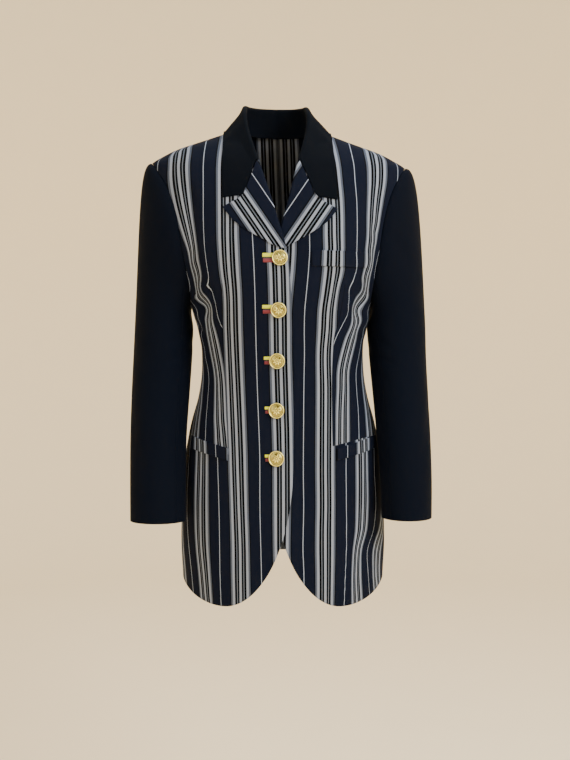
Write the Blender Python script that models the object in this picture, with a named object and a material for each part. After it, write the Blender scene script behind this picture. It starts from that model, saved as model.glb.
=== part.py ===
"""Long tailored blazer with striped fronts, plain sleeves and collar, and five metal buttons.

The coat keeps the hollow form in which it is worn. Metres, +Z up, front towards -Y.
The origin is the middle of the neck, level with the highest points of the shoulders,
where the wearer's neck and shoulders hold the coat. +X is the wearer's left.

Every cloth piece is a wall between an outer and an inner face. The body pieces lie on one
torso surface, which is a stack of ring sections. A place on it is an angle round the body,
0 at the centre front and 180 degrees at the centre back, and a height. The torso is drawn
symmetrical, and worn() then gives it the slight lean in which it hangs.
"""
import math
from collections import namedtuple

import bmesh
import bpy
import numpy as np
from mathutils import Matrix, Vector
from mathutils.bvhtree import BVHTree

for thing in list(bpy.data.objects):
    bpy.data.objects.remove(thing, do_unlink=True)

# Driving sizes
CLOTH = 0.0020                # body cloth with its interlining
SEAM_GAP = 0.0003             # between pieces that are sewn to each other
LAY_GAP = 0.0008              # between a piece and the cloth that it lies on
SHOULDER_POINT = -0.0575      # height of the sleeve head's seam
NECK_POINT = 0.005            # height where the shoulder seam meets the collar
UNDERARM = -0.295
POCKET_LEVEL = -0.500         # below this the rows turn towards the hem
SIDE_HEM = -0.748
BACK_HEM = -0.732
FRONT_HEM = -0.780
CUT_AWAY_START = -0.550       # where the front edge begins to round away
CUT_AWAY_MIDDLE = 0.0965      # distance from the centre line of the hem's lowest point
CUT_AWAY_CORNER = 52.0        # degrees round the cut-away where front edge becomes hem
OVERLAP = 0.0172              # how far each front passes the centre line
TOP_BUTTON = -0.2165
LAPEL_END = -0.2055           # height where the lapel runs out above the top button
ROLL_TOP = (0.0316, -0.0586)  # place on the roll line where collar and lapel meet
ROLL_SLOPE = 0.285            # sideways run of the roll line for each metre down
ROLL_CLEAR = 0.0062           # from the roll's fold back to the front's own edge
LAPEL_CLOTH = 0.0016          # lapel and collar cloth
LAPEL_LEVEL = 0.0023          # outer face of a lapel or collar above the cloth that it lies on
ROLL_LEVEL = 0.0036           # the same at the top of its roll, which is softer
FACING_LEVEL = -0.0045        # visible face of the inner leaf, behind the front
FACING_RETURN = 0.0150        # depth of that leaf
COLLAR_FOLD = 0.0045          # outer radius of the collar's fold
BUTTON_STAND = 0.0022

# Numbers of rows and columns
ARMHOLE_STEPS = 12
SHOULDER_STEPS = 14
BACK_NECK_STEPS = 3
SIDE_ROWS = 5
SKIRT_ROWS = 7
CAP_ROWS = 6
SLEEVE_ROWS = 10

# Torso sections: half the width, depth of the front, depth of the back, and how square
Section = namedtuple("Section", "height half_width front back square")
TORSO = [
    Section(-0.800, 0.1670, 0.122, 0.132, 0.030),
    Section(-0.750, 0.1690, 0.122, 0.131, 0.030),
    Section(-0.690, 0.1720, 0.121, 0.130, 0.030),
    Section(-0.650, 0.1715, 0.119, 0.129, 0.030),
    Section(-0.580, 0.1680, 0.116, 0.125, 0.030),
    Section(-0.520, 0.1610, 0.113, 0.115, 0.030),
    Section(-0.490, 0.1550, 0.112, 0.108, 0.030),
    Section(-0.450, 0.1440, 0.111, 0.098, 0.030),
    Section(-0.420, 0.1385, 0.111, 0.092, 0.030),
    Section(-0.390, 0.1365, 0.112, 0.089, 0.030),
    Section(-0.360, 0.1375, 0.114, 0.090, 0.030),
    Section(-0.330, 0.1430, 0.118, 0.094, 0.030),
    Section(-0.295, 0.1530, 0.123, 0.101, 0.030),
    Section(-0.250, 0.1710, 0.126, 0.108, 0.025),
    Section(-0.200, 0.1915, 0.122, 0.113, 0.020),
    Section(-0.150, 0.2045, 0.112, 0.114, 0.015),
    Section(-0.100, 0.2145, 0.096, 0.107, 0.010),
    Section(-0.075, 0.2180, 0.085, 0.100, 0.005),
    Section(-0.0575, 0.2145, 0.076, 0.092, 0.0),
    Section(-0.045, 0.1950, 0.068, 0.0855, 0.0),
    Section(-0.032, 0.1690, 0.059, 0.078, 0.0),
    Section(-0.023, 0.1435, 0.052, 0.072, 0.0),
    Section(-0.015, 0.1210, 0.045, 0.066, 0.0),
    Section(-0.003, 0.0880, 0.034, 0.058, 0.0),
    Section(0.006, 0.0640, 0.022, 0.050, 0.0),
]

# How the worn coat leans: sideways shift of the middle, and drop for each metre to the left
Lean = namedtuple("Lean", "height shift drop")
LEANING = [
    Lean(-0.800, 0.0030, 0.000),
    Lean(-0.550, 0.0030, 0.000),
    Lean(-0.390, 0.0027, 0.000),
    Lean(-0.300, 0.0000, 0.004),
    Lean(-0.200, -0.0005, 0.014),
    Lean(-0.120, -0.0015, 0.020),
    Lean(-0.060, -0.0040, 0.020),
    Lean(0.000, -0.0062, 0.020),
    Lean(0.060, -0.0100, 0.020),
]

# Neck edge of a front from the shoulder seam to the roll line: distance from the centre line
NeckEdge = namedtuple("NeckEdge", "height across")
FRONT_NECK = [
    NeckEdge(-0.0586, 0.0380),
    NeckEdge(-0.0320, 0.0475),
    NeckEdge(-0.0200, 0.0530),
    NeckEdge(-0.0100, 0.0590),
    NeckEdge(0.0000, 0.0642),
    NeckEdge(0.0050, 0.0664),
]

# Largest folds: troughs (or ridges, below zero depth) between two places on one face
Fold = namedtuple("Fold", "side face x_top z_top x_end z_end width depth")
FOLDS = [
    Fold("right", "front", 0.148, -0.118, 0.139, -0.275, 0.0110, 0.0048),
    Fold("right", "front", 0.134, -0.288, 0.112, -0.335, 0.0080, 0.0030),
    Fold("right", "front", 0.142, -0.470, 0.150, -0.500, 0.0120, 0.0020),
    Fold("left", "front", 0.146, -0.125, 0.134, -0.280, 0.0115, 0.0042),
    Fold("left", "front", 0.132, -0.275, 0.118, -0.335, 0.0080, 0.0035),
    Fold("left", "front", 0.122, -0.630, 0.114, -0.705, 0.0170, 0.0050),
    Fold("right", "back", 0.132, -0.150, 0.126, -0.270, 0.0110, 0.0045),
    Fold("left", "back", 0.134, -0.145, 0.128, -0.280, 0.0110, 0.0045),
    Fold("right", "back", 0.110, -0.330, 0.060, -0.375, 0.0110, 0.0030),
    Fold("left", "back", 0.112, -0.325, 0.058, -0.365, 0.0110, 0.0030),
    Fold("left", "back", 0.120, -0.600, 0.108, -0.690, 0.0180, 0.0045),
]

# Collar, one half: the stand's lower edge, the fold's crest, and the outer edge on the cloth
CollarRow = namedtuple("CollarRow", "foot crest edge_across edge_height edge_face")
COLLAR = [
    CollarRow((0.0000, 0.0480, -0.0020), (0.0000, 0.0500, 0.0500), 0.0000, -0.0200, "back"),
    CollarRow((0.0290, 0.0415, -0.0020), (0.0270, 0.0440, 0.0495), 0.0400, -0.0195, "back"),
    CollarRow((0.0480, 0.0255, -0.0020), (0.0440, 0.0260, 0.0480), 0.0680, -0.0155, "back"),
    CollarRow((0.0590, 0.0060, -0.0025), (0.0505, 0.0050, 0.0455), 0.0840, -0.0080, "back"),
    CollarRow((0.0585, -0.0060, -0.0040), (0.0512, -0.0150, 0.0340), 0.0900, -0.0080, "front"),
    CollarRow((0.0560, -0.0165, -0.0090), (0.0500, -0.0310, 0.0140), 0.0910, -0.0230, "front"),
    CollarRow((0.0545, -0.0275, -0.0195), (0.0462, -0.0440, -0.0070), 0.0915, -0.0440, "front"),
    CollarRow((0.0500, -0.0455, -0.0355), (0.0400, -0.0600, -0.0300), 0.0920, -0.0800, "front"),
    CollarRow((0.0460, -0.0675, -0.0605), (0.0316, -0.0762, -0.0586), 0.0925, -0.1240, "front"),
]
COLLAR_NOTCH = (0.0583, -0.1195)      # where the collar's lower edge leaves the lapel
NOTCH_SHARE = 0.56                    # part of the gorge edge that runs from the fold to the notch
RIDGE_RISE = 0.0042                   # extra height of the collar over the shoulder ridge
RIDGE_WIDTH = 0.018

Welt = namedtuple("Welt", "name side inner outer width")
WELTS = [                             # distance and height of both ends of the upper edge
    Welt("hip_welt_right", "right", (0.087, -0.5265), (0.1510, -0.5105), 0.0200),
    Welt("hip_welt_left", "left", (0.087, -0.5265), (0.1510, -0.5105), 0.0200),
    Welt("chest_welt", "left", (0.0500, -0.2080), (0.1430, -0.2080), 0.0255),
]

# Lapel's outer edge from its tip to the top button
EdgePoint = namedtuple("EdgePoint", "along across height")
LAPEL_EDGE = [
    EdgePoint(0.00, 0.0925, -0.1385),
    EdgePoint(0.18, 0.0760, -0.1600),
    EdgePoint(0.38, 0.0550, -0.1760),
    EdgePoint(0.62, 0.0280, -0.1915),
    EdgePoint(0.82, 0.0090, -0.2020),
    EdgePoint(1.00, -0.0090, -0.2065),
]

# Sleeve sections in the hanging coat: middle, half the width, half the depth
Tube = namedtuple("Tube", "height middle_x middle_y half_width half_depth")
RIGHT_SLEEVE = [
    Tube(-0.650, -0.2000, -0.078, 0.0452, 0.0410),
    Tube(-0.580, -0.2020, -0.061, 0.0458, 0.0435),
    Tube(-0.510, -0.2032, -0.042, 0.0466, 0.0470),
    Tube(-0.440, -0.2018, -0.022, 0.0485, 0.0510),
    Tube(-0.380, -0.1998, -0.008, 0.0495, 0.0545),
    Tube(-0.330, -0.1982, -0.001, 0.0496, 0.0575),
    Tube(-0.290, -0.1965, 0.003, 0.0500, 0.0600),
]
LEFT_SLEEVE = [
    Tube(-0.650, 0.2050, -0.078, 0.0405, 0.0445),
    Tube(-0.580, 0.2055, -0.061, 0.0425, 0.0455),
    Tube(-0.510, 0.2035, -0.042, 0.0445, 0.0480),
    Tube(-0.440, 0.2003, -0.022, 0.0463, 0.0515),
    Tube(-0.380, 0.1972, -0.008, 0.0480, 0.0545),
    Tube(-0.330, 0.1952, -0.001, 0.0496, 0.0575),
    Tube(-0.290, 0.1935, 0.003, 0.0500, 0.0600),
]
CUFF = {"right": -0.646, "left": -0.641}

# How the sleeve leaves the armhole: outward, forward and upward reach, and length below it
CapHandle = namedtuple("CapHandle", "turn outward forward upward lower")
CAP = [
    CapHandle(0, 0.022, 0.000, 0.004, 0.170),
    CapHandle(45, 0.021, 0.010, -0.003, 0.120),
    CapHandle(90, 0.020, 0.007, -0.010, 0.070),
    CapHandle(135, 0.012, 0.004, -0.014, 0.030),
    CapHandle(180, 0.005, 0.000, -0.012, 0.014),
    CapHandle(225, 0.012, -0.004, -0.014, 0.030),
    CapHandle(270, 0.020, -0.009, -0.010, 0.070),
    CapHandle(315, 0.021, -0.012, -0.003, 0.120),
    CapHandle(360, 0.022, 0.000, 0.004, 0.170),
]
UPPER_SLEEVE_TURNS = (-120, 135)      # degrees from the outer side, towards the front
ARMHOLE_GAP = 0.00045                 # from the edge of the armhole to the start of the sleeve

# Buttons on the right front: place on the centre line
BUTTON_HEIGHTS = (-0.2215, -0.3040, -0.3855, -0.4650, -0.5415)
BUTTON_ACROSS = (-0.0010, -0.0035, -0.0083, -0.0100, -0.0099)

# Turned profile of a button: distance from the axis, height over its back
BUTTON_PROFILE = [
    (0.0022, 0.0000), (0.0110, 0.0000), (0.0122, 0.0006), (0.0125, 0.0014), (0.0122, 0.0022),
    (0.0114, 0.0025), (0.0104, 0.0020), (0.0085, 0.0030), (0.0055, 0.0040), (0.0025, 0.0045),
]

SIGN = {"right": -1.0, "left": 1.0}


def column(rows, name):
    """One named column of a table."""
    return np.array([getattr(row, name) for row in rows], dtype=float)


def curve(knots, values, at):
    """Smooth curve through a table's values."""
    knots = np.asarray(knots, dtype=float)
    values = np.asarray(values, dtype=float)
    slope = np.gradient(values, knots)
    i = np.clip(np.searchsorted(knots, at) - 1, 0, len(knots) - 2)
    step = knots[i + 1] - knots[i]
    t = np.clip((at - knots[i]) / step, 0.0, 1.0)
    start = (2 * t**3 - 3 * t**2 + 1) * values[i] + (t**3 - 2 * t**2 + t) * step * slope[i]
    end = (3 * t**2 - 2 * t**3) * values[i + 1] + (t**3 - t**2) * step * slope[i + 1]
    return start + end


def from_table(rows, name, at):
    """Smooth value of a table's column at a height."""
    return curve(column(rows, rows[0]._fields[0]), column(rows, name), at)


def ease(value, low, high):
    """0 below low, 1 above high, smooth between."""
    t = np.clip((value - low) / (high - low), 0.0, 1.0)
    return t * t * (3.0 - 2.0 * t)


def ring(angle, height):
    """Torso surface without folds."""
    roundness = 1.0 + from_table(TORSO, "square", height) * np.sin(2.0 * angle) ** 2
    depth = np.where(np.cos(angle) > 0.0, from_table(TORSO, "front", height),
                     from_table(TORSO, "back", height))
    x = from_table(TORSO, "half_width", height) * roundness * np.sin(angle)
    y = -depth * roundness * np.cos(angle)
    return np.stack([x, y, height + 0.0 * angle], axis=-1)


def unit(vectors):
    return vectors / np.linalg.norm(vectors, axis=-1, keepdims=True)


def outward(angle, height):
    """Outward normal of the torso surface."""
    step = 1e-4
    round_body = ring(angle + step, height) - ring(angle - step, height)
    upward = ring(angle, height + step) - ring(angle, height - step)
    return unit(np.cross(round_body, upward))


def fold_depth(point, side):
    """How far the folds press the cloth in at points of one half."""
    total = np.zeros(point.shape[:-1])
    x = point[..., 0] * SIGN[side]
    z = point[..., 2]
    for fold in FOLDS:
        if fold.side != side:
            continue
        run = np.array([fold.x_end - fold.x_top, fold.z_end - fold.z_top])
        length = np.linalg.norm(run)
        along = ((x - fold.x_top) * run[0] + (z - fold.z_top) * run[1]) / length
        across = ((x - fold.x_top) * run[1] - (z - fold.z_top) * run[0]) / length
        beyond = np.maximum(0.0, np.maximum(-along, along - length))
        shape = np.exp(-(across / fold.width) ** 2 - (beyond / (1.6 * fold.width)) ** 2)
        facing = point[..., 1] < 0.0 if fold.face == "front" else point[..., 1] >= 0.0
        total += fold.depth * shape * facing
    return total


def tuck_under(point, side):
    """How far the left front dips to pass under the right one, with its lapel between."""
    if side == "right":
        return np.zeros(point.shape[:-1])
    x = point[..., 0]
    z = point[..., 2]
    below_crossing = 1.0 - ease(z, -0.165, -0.075)
    under_front = (CLOTH + LAY_GAP) * below_crossing
    under_lapel = (LAPEL_LEVEL - FACING_LEVEL - 0.0018) * below_crossing * ease(z, -0.275, -0.222)
    in_front = point[..., 1] < 0.0
    return (under_front + under_lapel) * (1.0 - ease(x, 0.018, 0.060)) * in_front


def body(angle, height, side, level=0.0):
    """Point on a body piece of one half, level metres outside the cloth's outer face."""
    angle, height = np.broadcast_arrays(np.asarray(angle, float), np.asarray(height, float))
    base = ring(angle, height)
    normal = outward(angle, height)
    base = base * np.array([SIGN[side], 1.0, 1.0])
    normal = normal * np.array([SIGN[side], 1.0, 1.0])
    press = fold_depth(base, side) + tuck_under(base, side)
    return base + normal * (level - press)[..., None]


def worn(point):
    """The slight lean in which the coat hangs."""
    shift = from_table(LEANING, "shift", point[..., 2])
    drop = from_table(LEANING, "drop", point[..., 2])
    return point + np.stack([shift, 0.0 * shift, -drop * point[..., 0]], axis=-1)


def angle_at(across, height, face="front"):
    """Angle round the torso of a place given by its distance from the centre line."""
    across, height = np.broadcast_arrays(np.asarray(across, float), np.asarray(height, float))
    low = np.full(across.shape, -0.5 * math.pi)
    high = np.full(across.shape, 0.5 * math.pi)
    for _ in range(40):
        middle = 0.5 * (low + high)
        inside = ring(middle, height)[..., 0] < across
        low = np.where(inside, middle, low)
        high = np.where(inside, high, middle)
    front = 0.5 * (low + high)
    return front if face == "front" else math.pi - front


def armhole(turn, face):
    """Angle and height on the armhole, turn running from the shoulder to the underarm."""
    width = math.radians(34.5 if face == "front" else 39.0)
    opening = width * np.sin(turn) ** 0.75 * (1.0 + 0.08 * np.cos(turn))
    height = SHOULDER_POINT + (UNDERARM - SHOULDER_POINT) * (1.0 - np.cos(turn)) / 2.0
    side = 0.5 * math.pi
    return (side - opening if face == "front" else side + opening), height


def hem_height(angle):
    """Height of the hem round the body, with the rounded cut-away at the front."""
    angle = np.asarray(angle, float)
    across = ring(angle, np.full(angle.shape, FRONT_HEM))[..., 0]
    reach = (CUT_AWAY_MIDDLE - across) / (CUT_AWAY_MIDDLE + OVERLAP)
    rounded = np.sqrt(np.clip(1.0 - np.clip(reach, 0.0, 1.0) ** 2, 0.0, 1.0))
    cut_away = CUT_AWAY_START + (FRONT_HEM - CUT_AWAY_START) * rounded
    lowest = float(angle_at(CUT_AWAY_MIDDLE, FRONT_HEM))
    side = 0.5 * math.pi
    rising = FRONT_HEM + (SIDE_HEM - FRONT_HEM) * ease(angle, lowest, side)
    back = SIDE_HEM + (BACK_HEM - SIDE_HEM) * ease(angle, side, math.pi)
    return np.where(angle < lowest, cut_away, np.where(angle < side, rising, back))


def roll_across(height):
    """Distance of the roll line from the centre line, its own side positive."""
    return ROLL_TOP[0] - ROLL_SLOPE * (ROLL_TOP[1] - height)


def front_edge(height):
    """Distance of a front's edge from the centre line, past it below zero."""
    neck = from_table(FRONT_NECK, "across", np.maximum(height, ROLL_TOP[1]))
    lapel = roll_across(height) + ROLL_CLEAR
    closed = -OVERLAP + 0.004 * ease(height, -0.290, TOP_BUTTON)
    open_part = np.where(height > ROLL_TOP[1], neck, lapel)
    fastened = 1.0 - ease(height, TOP_BUTTON, TOP_BUTTON + 0.012)
    return open_part * (1.0 - fastened) + closed * fastened


def row_levels():
    """Heights at the front edge and at the side for each row above the skirt."""
    turn = math.pi * np.arange(ARMHOLE_STEPS + 1) / ARMHOLE_STEPS
    share = 0.45 * np.arange(ARMHOLE_STEPS + 1) / ARMHOLE_STEPS + 0.55 * (1 - np.cos(turn)) / 2
    inner = NECK_POINT + (UNDERARM - NECK_POINT) * share
    middle = np.linspace(UNDERARM, POCKET_LEVEL, SIDE_ROWS + 1)[1:]
    return turn, inner, middle


def seam_shift(face, height):
    """Half the seam's gap as an angle, on the front's or the back's side of it."""
    half = SEAM_GAP / 2.0 / from_table(TORSO, "front", height)
    return -half if face == "front" else half


def side_boundary(face):
    """Armhole and side seam of a body piece, from the shoulder to the hem."""
    turn, _, middle = row_levels()
    hole_angle, hole_height = armhole(turn, face)
    skirt = np.linspace(POCKET_LEVEL, SIDE_HEM, SKIRT_ROWS + 1)[1:]
    height = np.concatenate([hole_height, middle, skirt])
    seam = 0.5 * math.pi + seam_shift(face, height)
    angle = np.concatenate([hole_angle, seam[len(hole_angle):]])
    angle[[0, ARMHOLE_STEPS]] = seam[[0, ARMHOLE_STEPS]]
    return angle, height


def front_boundary():
    """Neck, roll line, front edge and upper cut-away of a front."""
    _, inner, middle = row_levels()
    straight = np.concatenate([inner, middle])
    across = front_edge(straight)
    skirt_turn = np.linspace(0.0, math.radians(CUT_AWAY_CORNER), SKIRT_ROWS)
    skirt_height = CUT_AWAY_START + (FRONT_HEM - CUT_AWAY_START) * np.sin(skirt_turn)
    skirt_across = CUT_AWAY_MIDDLE - (CUT_AWAY_MIDDLE + OVERLAP) * np.cos(skirt_turn)
    height = np.concatenate([straight, skirt_height])
    across = np.concatenate([across, skirt_across])
    return angle_at(across, height), height


def seam_angle(side):
    """The left shoulder seam lies a little forward, so that some of the back shows above it."""
    return math.radians(83.0 if side == "left" else 90.0)


def shoulder_seam(side, face):
    """Angles and heights along the shoulder seam from the neck to the sleeve head."""
    share = np.linspace(0.0, 1.0, SHOULDER_STEPS + 1)
    angle = seam_angle(side) + (0.5 * math.pi - seam_angle(side)) * share
    height = NECK_POINT + (SHOULDER_POINT - NECK_POINT) * share
    return angle + seam_shift(face, height), height


def between(left, right, top, bottom, top_share, bottom_share):
    """Values inside a piece from those on its four boundaries."""
    across = np.linspace(0.0, 1.0, len(top))
    straight = left[:, None] * (1 - across) + right[:, None] * across
    top_bulge = top - (top[0] * (1 - across) + top[-1] * across)
    bottom_bulge = bottom - (bottom[0] * (1 - across) + bottom[-1] * across)
    return straight + top_share[:, None] * top_bulge + bottom_share[:, None] * bottom_bulge


def fill_rows(left, right, top, bottom, face):
    """Angles and heights inside a piece, whose boundaries each have angles and heights."""
    row = np.arange(len(left[0]))
    top_share = np.clip(1.0 - row / ARMHOLE_STEPS, 0.0, 1.0) ** 1.5
    bottom_share = np.clip((row - (row[-1] - SKIRT_ROWS)) / SKIRT_ROWS, 0.0, 1.0) ** 2
    sides = (left, right, top, bottom)
    height = between(*[side[1] for side in sides], top_share, bottom_share)
    angle = between(*[side[0] for side in sides], top_share, bottom_share)
    across = between(*[ring(*side)[..., 0] for side in sides], top_share, bottom_share)
    seen = (1.0 - ease(row, 4.0, ARMHOLE_STEPS))[:, None]
    angle = angle * (1.0 - seen) + angle_at(across, height, face) * seen
    angle[0], angle[:, 0], angle[:, -1] = top[0], left[0], right[0]
    return angle, height


def front_layout(side):
    """Angles and heights of a front's rows and columns."""
    left = front_boundary()
    right = side_boundary("front")
    top = shoulder_seam(side, "front")
    left[0][0], left[1][0] = top[0][0], top[1][0]
    right[0][0], right[1][0] = top[0][-1], top[1][-1]
    bottom_angle = np.linspace(left[0][-1], right[0][-1], SHOULDER_STEPS + 1)
    bottom_height = hem_height(bottom_angle)
    bottom_height[0], bottom_height[-1] = left[1][-1], right[1][-1]
    return fill_rows(left, right, top, (bottom_angle, bottom_height), "front")


def back_layout(side):
    """Angles and heights of a back half's rows and columns."""
    _, inner, middle = row_levels()
    skirt = np.linspace(POCKET_LEVEL, BACK_HEM, SKIRT_ROWS + 1)[1:]
    height = np.concatenate([inner, middle, skirt])
    seam = math.pi - SEAM_GAP / 2.0 / from_table(TORSO, "half_width", height)
    right = side_boundary("back")
    shoulder = shoulder_seam(side, "back")
    neck = np.linspace(seam[0], shoulder[0][0], BACK_NECK_STEPS + 1)[:-1]
    neck_height = NECK_POINT - 0.002 + 0.002 * ease(-neck, -seam[0], -shoulder[0][0])
    height[0] = neck_height[0]
    left = (seam, height)
    right[0][0], right[1][0] = shoulder[0][-1], shoulder[1][-1]
    top = (np.concatenate([neck, shoulder[0]]), np.concatenate([neck_height, shoulder[1]]))
    bottom_angle = np.linspace(seam[-1], right[0][-1], len(top[0]))
    bottom = (bottom_angle, hem_height(bottom_angle))
    bottom[1][0], bottom[1][-1] = height[-1], right[1][-1]
    return fill_rows(left, right, top, bottom, "back")


def cloth_material(name, colour, roughness, metallic=0.0):
    material = bpy.data.materials.new(name)
    material.use_nodes = True
    shader = material.node_tree.nodes["Principled BSDF"]
    shader.inputs["Base Color"].default_value = (*colour, 1.0)
    shader.inputs["Roughness"].default_value = roughness
    shader.inputs["Metallic"].default_value = metallic
    return material


def striped_cloth(name):
    return cloth_material(name + "_striped_cloth", (0.055, 0.060, 0.075), 0.85)


def plain_cloth(name):
    return cloth_material(name + "_plain_cloth", (0.008, 0.011, 0.018), 0.85)


def gold(name):
    return cloth_material(name + "_gold", (0.75, 0.55, 0.25), 0.3, 1.0)


def finish(name, mesh, material):
    """Object with outward faces and smooth shading."""
    bmesh.ops.recalc_face_normals(mesh, faces=mesh.faces)
    data = bpy.data.meshes.new(name)
    mesh.to_mesh(data)
    mesh.free()
    data.materials.append(material)
    data.shade_smooth()
    data.set_sharp_from_angle(angle=math.radians(40.0))
    piece = bpy.data.objects.new(name, data)
    bpy.context.scene.collection.objects.link(piece)
    return piece


def add_wall(name, outer, inner, material):
    """Closed wall between two grids of points of the same shape."""
    rows, columns = outer.shape[:2]
    mesh = bmesh.new()
    front = [[mesh.verts.new(outer[r, c]) for c in range(columns)] for r in range(rows)]
    behind = [[mesh.verts.new(inner[r, c]) for c in range(columns)] for r in range(rows)]
    for r in range(rows - 1):
        for c in range(columns - 1):
            mesh.faces.new((front[r][c], front[r][c + 1], front[r + 1][c + 1], front[r + 1][c]))
            mesh.faces.new((behind[r][c], behind[r + 1][c], behind[r + 1][c + 1], behind[r][c + 1]))
    rim = [(0, c) for c in range(columns - 1)] + [(r, columns - 1) for r in range(rows - 1)]
    rim += [(rows - 1, c) for c in range(columns - 1, 0, -1)] + [(r, 0) for r in range(rows - 1, 0, -1)]
    for (r, c), (r_next, c_next) in zip(rim, rim[1:] + rim[:1]):
        mesh.faces.new((front[r][c], behind[r][c], behind[r_next][c_next], front[r_next][c_next]))
    bmesh.ops.triangulate(mesh, faces=mesh.faces, quad_method="SHORT_EDGE")
    return finish(name, mesh, material)


def grid_normals(points, flip=1.0):
    """Normals of a grid of points."""
    return unit(np.cross(np.gradient(points, axis=1), np.gradient(points, axis=0))) * flip


def sleeve_start(side, face, turn):
    """Point on the armhole and the direction in which the sleeve leaves it."""
    angle, height = armhole(turn, face)
    point = worn(body(angle, height, side))
    normal = outward(angle, height) * np.array([SIGN[side], 1.0, 1.0])
    degrees = np.degrees(turn) if face == "front" else 360.0 - np.degrees(turn)
    turns = column(CAP, "turn")
    reach = [curve(turns, column(CAP, name), degrees) for name in ("outward", "forward", "upward")]
    leave = np.stack([SIGN[side] * reach[0], -reach[1], reach[2]], axis=-1)
    point = point + unit(unit(leave) + 0.8 * normal) * ARMHOLE_GAP
    return point, leave, curve(turns, column(CAP, "lower"), degrees)


def body_wall(name, side, layout):
    """One cut piece of the body as a wall."""
    angle, height = layout
    outer = body(angle, height, side)
    normal = outward(angle, height) * np.array([SIGN[side], 1.0, 1.0])
    inner = outer - normal * CLOTH
    return add_wall(name, worn(outer), worn(inner), striped_cloth(name))


def tube_point(side, degrees, height):
    """Outer face of a hanging sleeve below its cap."""
    rows = RIGHT_SLEEVE if side == "right" else LEFT_SLEEVE
    turn = np.radians(degrees)
    middle_x = from_table(rows, "middle_x", height)
    middle_y = from_table(rows, "middle_y", height)
    x = middle_x + SIGN[side] * from_table(rows, "half_width", height) * np.cos(turn)
    y = middle_y - from_table(rows, "half_depth", height) * np.sin(turn)
    return np.stack([x, y, height + 0.0 * turn], axis=-1)


def sleeve_grid(side, degrees):
    """Rows of points from the armhole to the cuff for a run of turns round the sleeve."""
    wrapped = np.mod(degrees, 360.0)
    face_front = wrapped <= 180.0
    turn = np.radians(np.where(face_front, wrapped, 360.0 - wrapped))
    front_start = sleeve_start(side, "front", turn)
    back_start = sleeve_start(side, "back", turn)
    chosen = face_front[:, None]
    start = np.where(chosen, front_start[0], back_start[0])
    leave = np.where(chosen, front_start[1], back_start[1])
    lower = np.where(face_front, front_start[2], back_start[2])
    biceps = -0.3175 + 0.0175 * np.cos(np.radians(degrees))
    end = tube_point(side, degrees, biceps)
    rising = unit(tube_point(side, degrees, biceps + 0.005) - end)
    t = np.linspace(0.0, 1.0, CAP_ROWS + 1)[:, None, None]
    second, third = start + leave, end + rising * lower[:, None]
    cap = (1 - t)**3 * start + 3 * (1 - t)**2 * t * second + 3 * (1 - t) * t**2 * third + t**3 * end
    share = np.linspace(0.0, 1.0, SLEEVE_ROWS + 1)[1:, None]
    height = biceps[None, :] + (CUFF[side] - biceps[None, :]) * share
    tube = tube_point(side, np.broadcast_to(degrees, height.shape), height)
    return np.concatenate([cap, tube], axis=0)


def sleeve_wall(name, side, first, last):
    """Upper or under sleeve, between two turns round the arm."""
    step = 180.0 / ARMHOLE_STEPS
    degrees = np.arange(first, last + 0.5 * step, step)
    trim = math.degrees(SEAM_GAP / 2.0 / 0.048)
    cut = degrees.copy()
    cut[0], cut[-1] = first + trim, last - trim
    around = np.arange(first - step, last + 1.5 * step, step)
    whole = sleeve_grid(side, around)
    normal = grid_normals(whole, SIGN[side])[:, 1:-1]
    outer = sleeve_grid(side, cut)
    inner = outer - normal * CLOTH
    return add_wall(name, outer, inner, plain_cloth(name))


def stand_off(points, level):
    """Points of the left half moved out of the torso where they are nearer to it than level."""
    for _ in range(3):
        height = np.clip(points[..., 2], TORSO[0].height, TORSO[-1].height)
        depth = np.where(points[..., 1] < 0.0, from_table(TORSO, "front", height),
                         from_table(TORSO, "back", height))
        half = from_table(TORSO, "half_width", height)
        angle = np.arctan2(points[..., 0] / half, -points[..., 1] / depth)
        normal = outward(angle, height)
        distance = np.sum((points - ring(angle, height)) * normal, axis=-1)
        short = np.clip(level - distance, 0.0, None) * (points[..., 2] < TORSO[-1].height)
        points = points + normal * short[..., None]
    return points


def bent_strip(foot, crest, edge, leave_in, leave_out, over, radius, share_rows):
    """Cross-section that rises from foot, folds over at crest and comes down to edge."""
    inner_count, fold_count, outer_count = share_rows
    top_in = crest - leave_in * radius - over * radius
    top_out = crest - leave_in * radius + over * radius
    middle = crest - leave_in * radius
    stand_control = top_in - leave_in * np.linalg.norm(top_in - foot) * 0.4
    points = []
    for t in np.linspace(0.0, 1.0, inner_count, endpoint=False):
        points.append((1 - t)**2 * foot + 2 * (1 - t) * t * stand_control + t**2 * top_in)
    for turn in np.linspace(0.0, math.pi, fold_count, endpoint=False):
        points.append(middle - over * radius * math.cos(turn) + leave_in * radius * math.sin(turn))
    control = top_out - leave_out * np.linalg.norm(edge - top_out) * 0.45
    for t in np.linspace(0.0, 1.0, outer_count):
        points.append((1 - t)**2 * top_out + 2 * (1 - t) * t * control + t**2 * edge)
    return np.array(points)


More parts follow.
